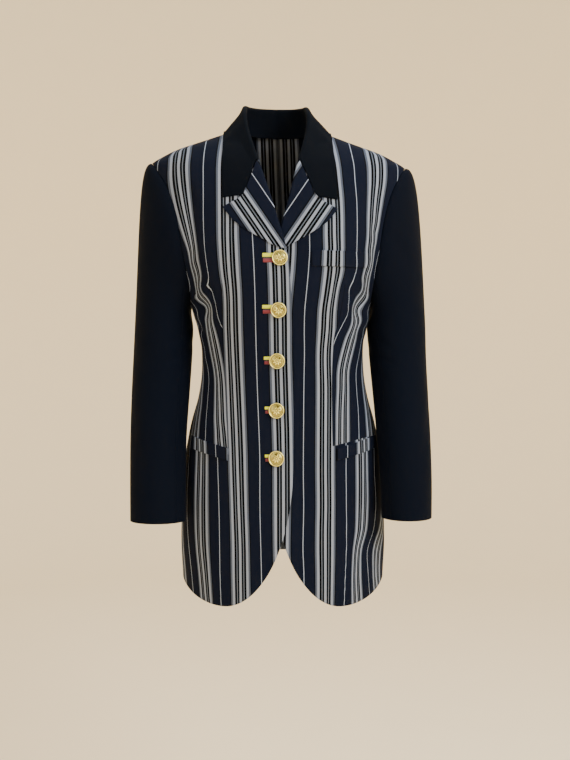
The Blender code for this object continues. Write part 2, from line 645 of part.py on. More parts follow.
def collar_half():
    """Grid of one half of the collar's outer face, from the centre back to the gorge."""
    knots = np.arange(len(COLLAR), dtype=float)
    stations = np.linspace(0.0, knots[-1], 2 * (len(COLLAR) - 1) - 1)
    foot = np.stack([curve(knots, [row.foot[k] for row in COLLAR], stations) for k in range(3)], axis=-1)
    crest = np.stack([curve(knots, [row.crest[k] for row in COLLAR], stations) for k in range(3)], axis=-1)
    edges = []
    for row in COLLAR:
        angle = angle_at(row.edge_across, row.edge_height, row.edge_face)
        edges.append(body(angle, row.edge_height, "left") + outward(angle, row.edge_height) * LAPEL_LEVEL)
    edges = np.array(edges)
    edge = np.stack([curve(knots, edges[:, k], stations) for k in range(3)], axis=-1)
    tangent = unit(np.gradient(crest, axis=0))
    tangent[0] = (1.0, 0.0, 0.0)
    up = unit(crest - 0.5 * (foot + edge))
    up = unit(up - tangent * np.sum(up * tangent, axis=-1, keepdims=True))
    over = np.cross(up, tangent)
    shares = (4, 4, 8)
    strips = [bent_strip(foot[i], crest[i], edge[i], up[i], up[i], over[i], COLLAR_FOLD, shares)
              for i in range(len(stations))]
    grid = np.array(strips)
    leaf = shares[0] + shares[1]
    last = grid[-1]
    along = np.linspace(0.0, 1.0, shares[2])
    notch_angle = angle_at(COLLAR_NOTCH[0], COLLAR_NOTCH[1])
    notch = body(notch_angle, COLLAR_NOTCH[1], "left", LAPEL_LEVEL)
    first_leg = last[leaf] + (notch - last[leaf]) * np.minimum(along / NOTCH_SHARE, 1.0)[:, None]
    second = np.clip((along - NOTCH_SHARE) / (1 - NOTCH_SHARE), 0, 1)[:, None]
    bent = np.where(along[:, None] < NOTCH_SHARE, first_leg, notch + (last[-1] - notch) * second)
    bulge = bent - last[leaf:]
    reach = ease(stations, stations[-1] - 3.0, stations[-1]) ** 1.5
    grid[:, leaf:] += reach[:, None, None] * bulge[None]
    over_shoulder = RIDGE_RISE * np.exp(-(grid[:, leaf:, 1] / RIDGE_WIDTH) ** 2)
    grid[:, leaf:] = stand_off(grid[:, leaf:], LAPEL_LEVEL + over_shoulder)
    return grid


def add_collar():
    """Stand and fall in one piece, both halves."""
    half = collar_half()
    mirrored = half[:0:-1] * np.array([-1.0, 1.0, 1.0])
    grid = np.concatenate([mirrored, half], axis=0)
    normal = grid_normals(grid, -1.0)
    return add_wall("collar", worn(grid), worn(grid - normal * LAPEL_CLOTH), plain_cloth("collar"))


def lapel_grid(side):
    """Grid of a lapel's outer face: inner leaf, fold, and outer leaf to the curved edge."""
    rows = 10
    along = np.linspace(0.0, 1.0, rows + 1)
    roll_height = (ROLL_TOP[1] - 0.001) + (LAPEL_END - ROLL_TOP[1]) * along
    roll = np.stack([roll_across(roll_height), roll_height], axis=-1)
    edge = np.stack([from_table(LAPEL_EDGE, "across", along), from_table(LAPEL_EDGE, "height", along)], axis=-1)
    inner_leaf, fold_points, outer_leaf = 3, 4, 9
    grid = []
    for i, t in enumerate(along):
        inward = unit(np.array([1.0, -ROLL_SLOPE]))
        places = []
        roll_level = ROLL_LEVEL + (LAPEL_LEVEL + 0.0002 - ROLL_LEVEL) * ease(t, 0.2, 0.7)
        radius = (roll_level - FACING_LEVEL) / 2.0
        centre = (roll_level + FACING_LEVEL) / 2.0
        leaf_depth = radius + (FACING_RETURN - radius) * (1.0 - 0.8 * ease(t, 0.3, 0.75))
        for d in np.linspace(leaf_depth, radius, inner_leaf, endpoint=False):
            places.append((roll[i] + inward * d, FACING_LEVEL))
        for turn in np.linspace(0.0, math.pi, fold_points, endpoint=False):
            d = radius * (1.0 - math.sin(turn))
            places.append((roll[i] + inward * d, centre - radius * math.cos(turn)))
        start = roll[i] + inward * radius
        middle = start + (edge[i] - start) * 0.5
        for s in np.linspace(0.0, 1.0, outer_leaf):
            bend = (np.array(COLLAR_NOTCH) - middle) * (1.0 - abs(2.0 * s - 1.0))
            place = start + (edge[i] - start) * s + bend * (1.0 - t) ** 2.5
            level = roll_level + (LAPEL_LEVEL - roll_level) * ease(s, 0.0, 0.45)
            places.append((place - np.array([0.0, 0.0012]) * (1.0 - t) ** 6, level))
        grid.append(places)
    across = np.array([[place[0][0] for place in row] for row in grid])
    height = np.array([[place[0][1] for place in row] for row in grid])
    level = np.array([[place[1] for place in row] for row in grid])
    return body(angle_at(across, height), height, side, level)


def add_lapel(side):
    name = "lapel_" + side
    grid = lapel_grid(side)
    normal = grid_normals(grid, -SIGN[side])
    return add_wall(name, worn(grid), worn(grid - normal * LAPEL_CLOTH), striped_cloth(name))


def lie_on(panel, places, normals, level):
    """Points moved along their normals to level above the panel's own faces."""
    mesh = bmesh.new()
    mesh.from_mesh(panel.data)
    faces = BVHTree.FromBMesh(mesh)
    mesh.free()
    moved = places.copy()
    for index in np.ndindex(places.shape[:-1]):
        normal = Vector(normals[index])
        hit = faces.ray_cast(Vector(places[index]) + normal * 0.02, -normal, 0.04)[0]
        if hit is not None:
            moved[index] = hit + normal * level
    return moved


def add_welt(name, side, inner_place, outer_place, width):
    """Strip on a front from its upper edge down, its ends given by distance and height."""
    share = np.linspace(0.0, 1.0, 11)
    across = inner_place[0] + (outer_place[0] - inner_place[0]) * share
    upper = inner_place[1] + (outer_place[1] - inner_place[1]) * share
    height = upper[None, :] - width * np.array([0.0, 0.5, 1.0])[:, None]
    angle = angle_at(np.broadcast_to(across, height.shape), height)
    place = worn(body(angle, height, side))
    normal = outward(angle, height) * np.array([SIGN[side], 1.0, 1.0])
    front = bpy.data.objects["front_" + side]
    inner = lie_on(front, place, normal, LAY_GAP)
    return add_wall(name, inner + normal * CLOTH, inner, striped_cloth(name))


def add_button(number, across, height):
    """Domed metal button on its shank, turned about the front's normal."""
    name = "button_%d" % number
    mesh = bmesh.new()
    foot = SEAM_GAP - BUTTON_STAND
    profile = [(0.0, foot), (0.0022, foot)] + BUTTON_PROFILE + [(0.0, 0.0047)]
    for radius, rise in profile:
        mesh.verts.new((radius, 0.0, rise))
    mesh.verts.ensure_lookup_table()
    edges = [mesh.edges.new((mesh.verts[i], mesh.verts[i + 1])) for i in range(len(profile) - 1)]
    bmesh.ops.spin(mesh, geom=list(mesh.verts) + edges, cent=(0, 0, 0), axis=(0, 0, 1),
                   angle=2 * math.pi, steps=14, use_merge=True)
    bmesh.ops.remove_doubles(mesh, verts=mesh.verts, dist=0.00001)
    angle = angle_at(across * SIGN["right"], height)
    place = worn(body(angle, height, "right", BUTTON_STAND))
    normal = outward(angle, height) * np.array([-1.0, 1.0, 1.0])
    turn = Vector(normal).to_track_quat("Z", "Y").to_matrix().to_4x4()
    bmesh.ops.transform(mesh, matrix=Matrix.Translation(Vector(place)) @ turn, verts=mesh.verts)
    return finish(name, mesh, gold(name))


def build():
    for side in ("right", "left"):
        body_wall("front_" + side, side, front_layout(side))
        body_wall("back_" + side, side, back_layout(side))
        first, last = UPPER_SLEEVE_TURNS
        sleeve_wall("upper_sleeve_" + side, side, first, last)
        sleeve_wall("under_sleeve_" + side, side, last, first + 360)
        add_lapel(side)
    for name, side, inner, outer, width in WELTS:
        add_welt(name, side, inner, outer, width)
    add_collar()
    for number, (across, height) in enumerate(zip(BUTTON_ACROSS, BUTTON_HEIGHTS), start=1):
        add_button(number, across, height)


build()
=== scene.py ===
# %% [markdown]
# # A long blazer in striped cloth
#
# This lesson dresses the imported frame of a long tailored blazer. The frame's solids have the
# coat's true form, but they are coarse and plain. Each cut piece of cloth gets a fine skin of its
# own here, with creases, a woven pattern and seams, and each button gets its relief.

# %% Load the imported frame
import math
from collections import namedtuple

import bmesh
import bpy
import numpy as np
from mathutils import Matrix, Vector


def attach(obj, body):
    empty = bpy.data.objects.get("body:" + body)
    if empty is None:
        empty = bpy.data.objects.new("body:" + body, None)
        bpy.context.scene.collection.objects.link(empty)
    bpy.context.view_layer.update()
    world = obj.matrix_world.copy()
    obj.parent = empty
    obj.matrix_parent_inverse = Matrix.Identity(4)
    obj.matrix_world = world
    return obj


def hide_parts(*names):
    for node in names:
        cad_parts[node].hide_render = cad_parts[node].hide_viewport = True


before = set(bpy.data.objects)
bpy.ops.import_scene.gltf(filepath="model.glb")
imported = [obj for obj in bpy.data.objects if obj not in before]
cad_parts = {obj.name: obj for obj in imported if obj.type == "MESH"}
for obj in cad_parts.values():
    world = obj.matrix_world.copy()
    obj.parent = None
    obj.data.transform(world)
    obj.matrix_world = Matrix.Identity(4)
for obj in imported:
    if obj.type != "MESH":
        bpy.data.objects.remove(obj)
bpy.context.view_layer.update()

# %% [markdown]
# ## Camera, backdrop and light
#
# The picture was taken from the front, level with the coat's waist, about 1.9 m away. A camera
# that looks level keeps upright lines upright, so a small shift frames the coat, not a tilt.

# %% Camera
PICTURE = (570, 760)                  # the image's size in pixels
EYE = Vector((0.0068, -1.9, -0.352))
PIXEL = 0.0017                        # one pixel in metres at the coat's middle depth
HORIZON_UP = 40                       # pixels from the image's middle up to eye level
FILM = 36.0                           # width of the camera's film in millimetres



def add_object(name, data):
    """New object with this data, linked to the scene."""
    thing = bpy.data.objects.new(name, data)
    bpy.context.scene.collection.objects.link(thing)
    return thing


camera_data = bpy.data.cameras.new("camera")
camera_data.sensor_fit = "HORIZONTAL"
camera_data.sensor_width = FILM
camera_data.lens = FILM * -EYE.y / (PICTURE[0] * PIXEL)
camera_data.shift_y = -HORIZON_UP / PICTURE[0]
camera = add_object("camera", camera_data)
camera.location = EYE
camera.rotation_euler = (math.radians(90.0), 0.0, 0.0)
bpy.context.scene.camera = camera
print("camera lens %.1f mm" % camera_data.lens)

# %% [markdown]
# The floor and the wall are one round card that bends up smoothly on all sides, so that the
# coat can be looked at from anywhere. Its profile, flat, then bent, then upright, is spun once.

# %% Backdrop
FLOOR = -1.30                         # height of the card's flat part
WALL = 4.2                            # radius of its upright part
BEND = 1.6                            # radius of the bend between them
RIM = 3.0                             # height of its upper edge


def spin_profile(profile, steps, weld):
    """Closed turn of a profile of radii and heights about the upright axis."""
    mesh = bmesh.new()
    line = [mesh.verts.new((radius, 0.0, height)) for radius, height in profile]
    edges = [mesh.edges.new(pair) for pair in zip(line[:-1], line[1:])]
    bmesh.ops.spin(mesh, geom=line + edges, cent=(0, 0, 0), axis=(0, 0, 1),
                   angle=2.0 * math.pi, steps=steps, use_merge=True)
    bmesh.ops.remove_doubles(mesh, verts=mesh.verts, dist=weld)
    bmesh.ops.recalc_face_normals(mesh, faces=mesh.faces)
    return mesh


def finished_mesh(name, mesh):
    """Mesh data made from a bmesh, which is freed."""
    data = bpy.data.meshes.new(name)
    mesh.to_mesh(data)
    mesh.free()
    return data


def backdrop_profile(bends=16):
    """Radii and heights of the card: flat, then bent, then upright."""
    profile = [(0.0, FLOOR), (0.5 * (WALL - BEND), FLOOR)]
    for turn in np.linspace(0.0, 0.5 * math.pi, bends + 1):
        radius = WALL - BEND + BEND * math.sin(turn)
        profile.append((radius, FLOOR + BEND * (1.0 - math.cos(turn))))
    return profile + [(WALL, RIM)]


def grid_mesh(name, points):
    """Mesh of a grid operator with its vertices laid on rows of points."""
    rows, columns = points.shape[:2]
    sheet = bmesh.new()
    bmesh.ops.create_grid(sheet, x_segments=columns - 1, y_segments=rows - 1, size=1.0)
    data = finished_mesh(name, sheet)
    data.vertices.foreach_set("co", np.asarray(points, dtype=np.float32).reshape(-1))
    data.update()
    return data


card_mesh = spin_profile(backdrop_profile(), steps=96, weld=0.0001)
backdrop = add_object("backdrop", finished_mesh("backdrop", card_mesh))
backdrop.data.shade_smooth()
print("backdrop faces", len(backdrop.data.polygons))

# %% Light
LAMPS = {                             # place, size and watts of each soft lamp
    "key_lamp": ((2.0, -2.0, 0.9), 1.4, 120.0),
    "fill_lamp": ((-1.8, -2.3, 0.5), 1.8, 26.0),
    "top_lamp": ((0.3, 0.1, 1.8), 1.8, 34.0),
}
LAMP_AIM = Vector((0.0, 0.0, -0.35))
LAMP_COLOUR = (0.95, 0.98, 1.0)       # slightly cool, because the card's light is warm
SKY_COLOUR = (0.90, 0.96, 1.0, 1.0)
SKY_STRENGTH = 0.98
for lamp_name, (place, size, watts) in LAMPS.items():
    lamp = bpy.data.lights.new(lamp_name, "AREA")
    lamp.shape = "SQUARE"
    lamp.size = size
    lamp.energy = watts
    lamp.color = LAMP_COLOUR
    lamp_object = add_object(lamp_name, lamp)
    lamp_object.location = place
    aim = LAMP_AIM - Vector(place)
    lamp_object.rotation_euler = aim.to_track_quat("-Z", "Y").to_euler()
    lamp_object.visible_camera = False

world = bpy.data.worlds.new("studio")
world.use_nodes = True
sky = world.node_tree.nodes["Background"]
sky.inputs["Color"].default_value = SKY_COLOUR
sky.inputs["Strength"].default_value = SKY_STRENGTH
bpy.context.scene.world = world
print("lamps", len(LAMPS))

# %% [markdown]
# ## The coat's form
#
# The body pieces lie on one torso surface, a stack of ring sections. A place on it is an angle
# round the body, 0 at the centre front, and a height. These are the same values that the solids
# have, in metres, so a skin made from them lies exactly on its solid.

# %% Sizes and tables of the torso
CLOTH = 0.0020
SEAM_GAP = 0.00002                    # skins nearly meet where the solids stand 0.3 mm apart
LAY_GAP = 0.0008                      # air between two layers that lie on each other
SHOULDER_POINT = -0.0575
NECK_POINT = 0.005
UNDERARM = -0.295
POCKET_LEVEL = -0.500
SIDE_HEM = -0.748
BACK_HEM = -0.732
FRONT_HEM = -0.780
CUT_AWAY_START = -0.550
CUT_AWAY_MIDDLE = 0.0965
CUT_AWAY_CORNER = 52.0                # degrees round the cut-away at which the hem begins
OVERLAP = 0.0172
TOP_BUTTON = -0.2165
EDGE_TAPER = 0.004                    # how much narrower the overlap is at the top button
EDGE_TAPER_START = -0.290
EDGE_OPENING = 0.012                  # height over which the closed edge becomes the lapel's
LAPEL_END = -0.2055
ROLL_TOP = (0.0316, -0.0586)
ROLL_SLOPE = 0.285
ROLL_CLEAR = 0.0062
LAPEL_CLOTH = 0.0016
LAPEL_LEVEL = 0.0023
ROLL_LEVEL = 0.0036
FACING_LEVEL = -0.0045
FACING_RETURN = 0.0150
COLLAR_FOLD = 0.0045
FRONTS_CROSS = (-0.165, -0.075)       # heights between which the fronts come to overlap
LAPELS_CROSS = (-0.275, -0.222)       # the same for the lapel between them
TUCK_ENDS = (0.018, 0.060)            # distances from the centre line where the dip runs out
LAPEL_NEST = 0.0018
SIGN = {"right": -1.0, "left": 1.0}

Section = namedtuple("Section", "height half_width front back square")
TORSO = [
    Section(-0.800, 0.1670, 0.122, 0.132, 0.030),
    Section(-0.750, 0.1690, 0.122, 0.131, 0.030),
    Section(-0.690, 0.1720, 0.121, 0.130, 0.030),
    Section(-0.650, 0.1715, 0.119, 0.129, 0.030),
    Section(-0.580, 0.1680, 0.116, 0.125, 0.030),
    Section(-0.520, 0.1610, 0.113, 0.115, 0.030),
    Section(-0.490, 0.1550, 0.112, 0.108, 0.030),
    Section(-0.450, 0.1440, 0.111, 0.098, 0.030),
    Section(-0.420, 0.1385, 0.111, 0.092, 0.030),
    Section(-0.390, 0.1365, 0.112, 0.089, 0.030),
    Section(-0.360, 0.1375, 0.114, 0.090, 0.030),
    Section(-0.330, 0.1430, 0.118, 0.094, 0.030),
    Section(-0.295, 0.1530, 0.123, 0.101, 0.030),
    Section(-0.250, 0.1710, 0.126, 0.108, 0.025),
    Section(-0.200, 0.1915, 0.122, 0.113, 0.020),
    Section(-0.150, 0.2045, 0.112, 0.114, 0.015),
    Section(-0.100, 0.2145, 0.096, 0.107, 0.010),
    Section(-0.075, 0.2180, 0.085, 0.100, 0.005),
    Section(-0.0575, 0.2145, 0.076, 0.092, 0.0),
    Section(-0.045, 0.1950, 0.068, 0.0855, 0.0),
    Section(-0.032, 0.1690, 0.059, 0.078, 0.0),
    Section(-0.023, 0.1435, 0.052, 0.072, 0.0),
    Section(-0.015, 0.1210, 0.045, 0.066, 0.0),
    Section(-0.003, 0.0880, 0.034, 0.058, 0.0),
    Section(0.006, 0.0640, 0.022, 0.050, 0.0),
]

Lean = namedtuple("Lean", "height shift drop")
LEANING = [
    Lean(-0.800, 0.0030, 0.000),
    Lean(-0.550, 0.0030, 0.000),
    Lean(-0.390, 0.0027, 0.000),
    Lean(-0.300, 0.0000, 0.004),
    Lean(-0.200, -0.0005, 0.014),
    Lean(-0.120, -0.0015, 0.020),
    Lean(-0.060, -0.0040, 0.020),
    Lean(0.000, -0.0062, 0.020),
    Lean(0.060, -0.0100, 0.020),
]

NeckEdge = namedtuple("NeckEdge", "height across")
FRONT_NECK = [
    NeckEdge(-0.0586, 0.0380),
    NeckEdge(-0.0320, 0.0475),
    NeckEdge(-0.0200, 0.0530),
    NeckEdge(-0.0100, 0.0590),
    NeckEdge(0.0000, 0.0642),
    NeckEdge(0.0050, 0.0664),
]
print("torso sections", len(TORSO))

# %% [markdown]
# Cloth that hangs on a body is never quite smooth. Each fold or crease is a soft trough between
# two places, pressed in by a bell-shaped curve, and a ridge is a trough of negative depth. The
# large ones are in the solids too. The fine ones are listed one by one, uneven in length and depth,
# where the arms, the waist and the buttons pull on the cloth, and hidden sides get similar ones.

# %% Folds and creases of the body
Fold = namedtuple("Fold", "side face x_top z_top x_end z_end width depth")
LARGE_FOLDS = [
    Fold("right", "front", 0.148, -0.118, 0.139, -0.275, 0.0110, 0.0048),
    Fold("right", "front", 0.134, -0.288, 0.112, -0.335, 0.0080, 0.0030),
    Fold("right", "front", 0.142, -0.470, 0.150, -0.500, 0.0120, 0.0020),
    Fold("left", "front", 0.146, -0.125, 0.134, -0.280, 0.0115, 0.0042),
    Fold("left", "front", 0.132, -0.275, 0.118, -0.335, 0.0080, 0.0035),
    Fold("left", "front", 0.122, -0.630, 0.114, -0.705, 0.0170, 0.0050),
    Fold("right", "back", 0.132, -0.150, 0.126, -0.270, 0.0110, 0.0045),
    Fold("left", "back", 0.134, -0.145, 0.128, -0.280, 0.0110, 0.0045),
    Fold("right", "back", 0.110, -0.330, 0.060, -0.375, 0.0110, 0.0030),
    Fold("left", "back", 0.112, -0.325, 0.058, -0.365, 0.0110, 0.0030),
    Fold("left", "back", 0.120, -0.600, 0.108, -0.690, 0.0180, 0.0045),
]
FINE_CREASES = [
    Fold("right", "front", 0.137, -0.250, 0.112, -0.277, 0.0038, 0.0024),
    Fold("right", "front", 0.137, -0.266, 0.113, -0.292, 0.0042, -0.0018),
    Fold("right", "front", 0.138, -0.286, 0.112, -0.312, 0.0040, 0.0026),
    Fold("right", "front", 0.113, -0.270, 0.112, -0.318, 0.0028, 0.0016),
    Fold("right", "front", 0.139, -0.312, 0.116, -0.345, 0.0045, -0.0014),
    Fold("right", "front", 0.138, -0.330, 0.112, -0.362, 0.0046, 0.0018),
    Fold("right", "front", 0.128, -0.370, 0.108, -0.392, 0.0070, 0.0011),
    Fold("right", "front", 0.106, -0.300, 0.103, -0.420, 0.0060, 0.0009),
    Fold("right", "front", 0.058, -0.560, 0.066, -0.690, 0.0150, 0.0010),
    Fold("right", "front", 0.128, -0.560, 0.136, -0.700, 0.0150, 0.0014),
    Fold("right", "front", 0.020, -0.262, 0.052, -0.272, 0.0070, 0.0005),
    Fold("left", "front", 0.133, -0.250, 0.113, -0.280, 0.0038, 0.0024),
    Fold("left", "front", 0.134, -0.268, 0.114, -0.296, 0.0042, -0.0018),
    Fold("left", "front", 0.135, -0.290, 0.114, -0.318, 0.0040, 0.0026),
    Fold("left", "front", 0.114, -0.278, 0.1135, -0.322, 0.0028, 0.0016),
    Fold("left", "front", 0.137, -0.316, 0.116, -0.348, 0.0045, -0.0014),
    Fold("left", "front", 0.136, -0.334, 0.112, -0.364, 0.0046, 0.0018),
    Fold("left", "front", 0.130, -0.352, 0.108, -0.384, 0.0060, 0.0012),
    Fold("left", "front", 0.092, -0.300, 0.088, -0.420, 0.0060, 0.0009),
    Fold("left", "front", 0.142, -0.318, 0.136, -0.334, 0.0090, -0.0032),
    Fold("left", "front", 0.140, -0.600, 0.146, -0.690, 0.0120, 0.0016),
    Fold("left", "front", 0.050, -0.570, 0.052, -0.700, 0.0150, 0.0009),
    Fold("right", "back", 0.030, -0.300, 0.026, -0.430, 0.0080, 0.0013),
    Fold("left", "back", 0.034, -0.310, 0.030, -0.440, 0.0085, 0.0013),
    Fold("right", "back", 0.120, -0.352, 0.078, -0.404, 0.0070, 0.0016),
    Fold("left", "back", 0.122, -0.362, 0.080, -0.398, 0.0065, 0.0014),
    Fold("right", "back", 0.070, -0.600, 0.082, -0.700, 0.0160, 0.0018),
    Fold("left", "back", 0.050, -0.570, 0.044, -0.690, 0.0150, 0.0014),
    Fold("right", "back", 0.020, -0.060, 0.092, -0.085, 0.0100, 0.0012),
    Fold("left", "back", 0.016, -0.064, 0.088, -0.080, 0.0100, 0.0010),
    Fold("right", "back", 0.112, -0.190, 0.104, -0.290, 0.0090, -0.0011),
    Fold("left", "back", 0.114, -0.200, 0.108, -0.290, 0.0090, -0.0010),
]
BODY_FOLDS = LARGE_FOLDS + FINE_CREASES
BODY_RUN_OUT = 1.6                    # widths in which a fold runs out past its ends
print("folds", len(LARGE_FOLDS), "fine creases", len(FINE_CREASES))

# %% Smooth curves through tables
def column(rows, name):
    """One named column of a table."""
    return np.array([getattr(row, name) for row in rows], dtype=float)


def curve(knots, values, at):
    """Smooth curve through a table's values."""
    knots = np.asarray(knots, dtype=float)
    values = np.asarray(values, dtype=float)
    slope = np.gradient(values, knots)
    i = np.clip(np.searchsorted(knots, at) - 1, 0, len(knots) - 2)
    step = knots[i + 1] - knots[i]
    t = np.clip((at - knots[i]) / step, 0.0, 1.0)
    start = (2 * t**3 - 3 * t**2 + 1) * values[i] + (t**3 - 2 * t**2 + t) * step * slope[i]
    return start + (3 * t**2 - 2 * t**3) * values[i + 1] + (t**3 - t**2) * step * slope[i + 1]


def from_table(rows, name, at):
    """Smooth value of a table's column at a height."""
    return curve(column(rows, rows[0]._fields[0]), column(rows, name), at)


def ease(value, low, high):
    """0 below low, 1 above high, smooth between."""
    t = np.clip((value - low) / (high - low), 0.0, 1.0)
    return t * t * (3.0 - 2.0 * t)


def unit(vectors):
    return vectors / np.linalg.norm(vectors, axis=-1, keepdims=True)


# %% The torso surface
def ring(angle, height):
    """Torso surface without folds."""
    roundness = 1.0 + from_table(TORSO, "square", height) * np.sin(2.0 * angle) ** 2
    depth = np.where(np.cos(angle) > 0.0, from_table(TORSO, "front", height),
                     from_table(TORSO, "back", height))
    x = from_table(TORSO, "half_width", height) * roundness * np.sin(angle)
    y = -depth * roundness * np.cos(angle)
    return np.stack([x, y, height + 0.0 * angle], axis=-1)


def outward(angle, height):
    """Outward normal of the torso surface."""
    step = 1e-4
    round_body = ring(angle + step, height) - ring(angle - step, height)
    upward = ring(angle, height + step) - ring(angle, height - step)
    return unit(np.cross(round_body, upward))


def trough(x, z, start, end, width, run_out):
    """Bell-shaped trough of depth 1 that ends run_out widths past its two places."""
    run = np.array([end[0] - start[0], end[1] - start[1]])
    length = np.linalg.norm(run)
    along = ((x - start[0]) * run[0] + (z - start[1]) * run[1]) / length
    across = ((x - start[0]) * run[1] - (z - start[1]) * run[0]) / length
    beyond = np.maximum(0.0, np.maximum(-along, along - length))
    return np.exp(-(across / width) ** 2 - (beyond / (run_out * width)) ** 2)


def fold_depth(point, side):
    """How far the folds press the cloth in at points of one half."""
    total = np.zeros(point.shape[:-1])
    x = point[..., 0] * SIGN[side]
    z = point[..., 2]
    for fold in BODY_FOLDS:
        if fold.side != side:
            continue
        shape = trough(x, z, (fold.x_top, fold.z_top), (fold.x_end, fold.z_end),
                       fold.width, BODY_RUN_OUT)
        facing = point[..., 1] < 0.0 if fold.face == "front" else point[..., 1] >= 0.0
        total += fold.depth * shape * facing
    return total


def tuck_under(point, side):
    """How far the left front dips to pass under the right one, with its lapel between."""
    if side == "right":
        return np.zeros(point.shape[:-1])
    x = point[..., 0]
    z = point[..., 2]
    below_crossing = 1.0 - ease(z, *FRONTS_CROSS)
    under_front = (CLOTH + LAY_GAP) * below_crossing
    lapel_depth = LAPEL_LEVEL - FACING_LEVEL - LAPEL_NEST
    under_lapel = lapel_depth * below_crossing * ease(z, *LAPELS_CROSS)
    in_front = point[..., 1] < 0.0
    return (under_front + under_lapel) * (1.0 - ease(x, *TUCK_ENDS)) * in_front


def body(angle, height, side, level=0.0):
    """Point on a body piece of one half, level metres outside the cloth's outer face."""
    angle, height = np.broadcast_arrays(np.asarray(angle, float), np.asarray(height, float))
    mirror = np.array([SIGN[side], 1.0, 1.0])
    base = ring(angle, height) * mirror
    press = fold_depth(base, side) + tuck_under(base, side)
    return base + outward(angle, height) * mirror * (level - press)[..., None]


def worn(point):
    """The slight lean in which the coat hangs."""
    shift = from_table(LEANING, "shift", point[..., 2])
    drop = from_table(LEANING, "drop", point[..., 2])
    return point + np.stack([shift, 0.0 * shift, -drop * point[..., 0]], axis=-1)


def angle_at(across, height, face="front"):
    """Angle round the torso of a place given by its distance from the centre line."""
    across, height = np.broadcast_arrays(np.asarray(across, float), np.asarray(height, float))
    low = np.full(across.shape, -0.5 * math.pi)
    high = np.full(across.shape, 0.5 * math.pi)
    for _ in range(40):
        middle = 0.5 * (low + high)
        inside = ring(middle, height)[..., 0] < across
        low = np.where(inside, middle, low)
        high = np.where(inside, high, middle)
    front = 0.5 * (low + high)
    return front if face == "front" else math.pi - front


print("centre front at the waist", np.round(worn(body(0.0, -0.4, "right")), 3))

# %% [markdown]
# ## Outlines of the cut pieces
#
# A front runs from the shoulder seam down the neck, the roll of its lapel and its buttoned edge,
# round the cut-away to the hem, and back up its side seam and armhole. Each boundary is worked
# out once. The rows between them are filled in smoothly, so a grid can be laid into the piece.

# %% Boundaries of fronts and backs
ARMHOLE_STEPS = 48
COLUMNS = 60
NECK_COLUMNS = 14
SIDE_ROWS = 50
SKIRT_ROWS = 58
SIDE_ANGLE = 0.5 * math.pi            # the side seam's angle round the body
ARMHOLE_WIDTHS = {"front": 34.5, "back": 39.0}      # degrees on each side of the side seam
ARMHOLE_ROUNDNESS = 0.75
ARMHOLE_TOP_WIDER = 0.08
SHOULDER_STARTS = {"right": 90.0, "left": 83.0}     # degrees at the neck
EVEN_ROWS = 0.45                      # share of the front edge's rows that is spaced evenly
NECK_DIP = 0.002
FLAT_ROWS = 0.33                      # share of the armhole's rows laid flat to the front


def armhole(turn, face):
    """Angle and height on the armhole, turn running from the shoulder to the underarm."""
    width = math.radians(ARMHOLE_WIDTHS[face])
    opening = width * np.sin(turn) ** ARMHOLE_ROUNDNESS * (1.0 + ARMHOLE_TOP_WIDER * np.cos(turn))
    height = SHOULDER_POINT + (UNDERARM - SHOULDER_POINT) * (1.0 - np.cos(turn)) / 2.0
    return (SIDE_ANGLE - opening if face == "front" else SIDE_ANGLE + opening), height


def hem_height(angle):
    """Height of the hem round the body, with the rounded cut-away at the front."""
    angle = np.asarray(angle, float)
    across = ring(angle, np.full(angle.shape, FRONT_HEM))[..., 0]
    reach = (CUT_AWAY_MIDDLE - across) / (CUT_AWAY_MIDDLE + OVERLAP)
    rounded = np.sqrt(np.clip(1.0 - np.clip(reach, 0.0, 1.0) ** 2, 0.0, 1.0))
    cut_away = CUT_AWAY_START + (FRONT_HEM - CUT_AWAY_START) * rounded
    lowest = float(angle_at(CUT_AWAY_MIDDLE, FRONT_HEM))
    rising = FRONT_HEM + (SIDE_HEM - FRONT_HEM) * ease(angle, lowest, SIDE_ANGLE)
    back = SIDE_HEM + (BACK_HEM - SIDE_HEM) * ease(angle, SIDE_ANGLE, math.pi)
    return np.where(angle < lowest, cut_away, np.where(angle < SIDE_ANGLE, rising, back))


def roll_across(height):
    """Distance of the roll line from the centre line, its own side positive."""
    return ROLL_TOP[0] - ROLL_SLOPE * (ROLL_TOP[1] - height)


def front_edge(height):
    """Distance of a front's edge from the centre line, past it below zero."""
    neck = from_table(FRONT_NECK, "across", np.maximum(height, ROLL_TOP[1]))
    lapel = roll_across(height) + ROLL_CLEAR
    closed = -OVERLAP + EDGE_TAPER * ease(height, EDGE_TAPER_START, TOP_BUTTON)
    open_part = np.where(height > ROLL_TOP[1], neck, lapel)
    fastened = 1.0 - ease(height, TOP_BUTTON, TOP_BUTTON + EDGE_OPENING)
    return open_part * (1.0 - fastened) + closed * fastened


def row_levels():
    """Heights at the front edge and at the side for each row above the skirt."""
    steps = np.arange(ARMHOLE_STEPS + 1)
    turn = math.pi * steps / ARMHOLE_STEPS
    share = EVEN_ROWS * steps / ARMHOLE_STEPS + (1.0 - EVEN_ROWS) * (1 - np.cos(turn)) / 2
    inner = NECK_POINT + (UNDERARM - NECK_POINT) * share
    middle = np.linspace(UNDERARM, POCKET_LEVEL, SIDE_ROWS + 1)[1:]
    return turn, inner, middle


def seam_shift(face, height):
    """Half the seam's gap as an angle, on the front's or the back's side of it."""
    half = SEAM_GAP / 2.0 / from_table(TORSO, "front", height)
    return -half if face == "front" else half


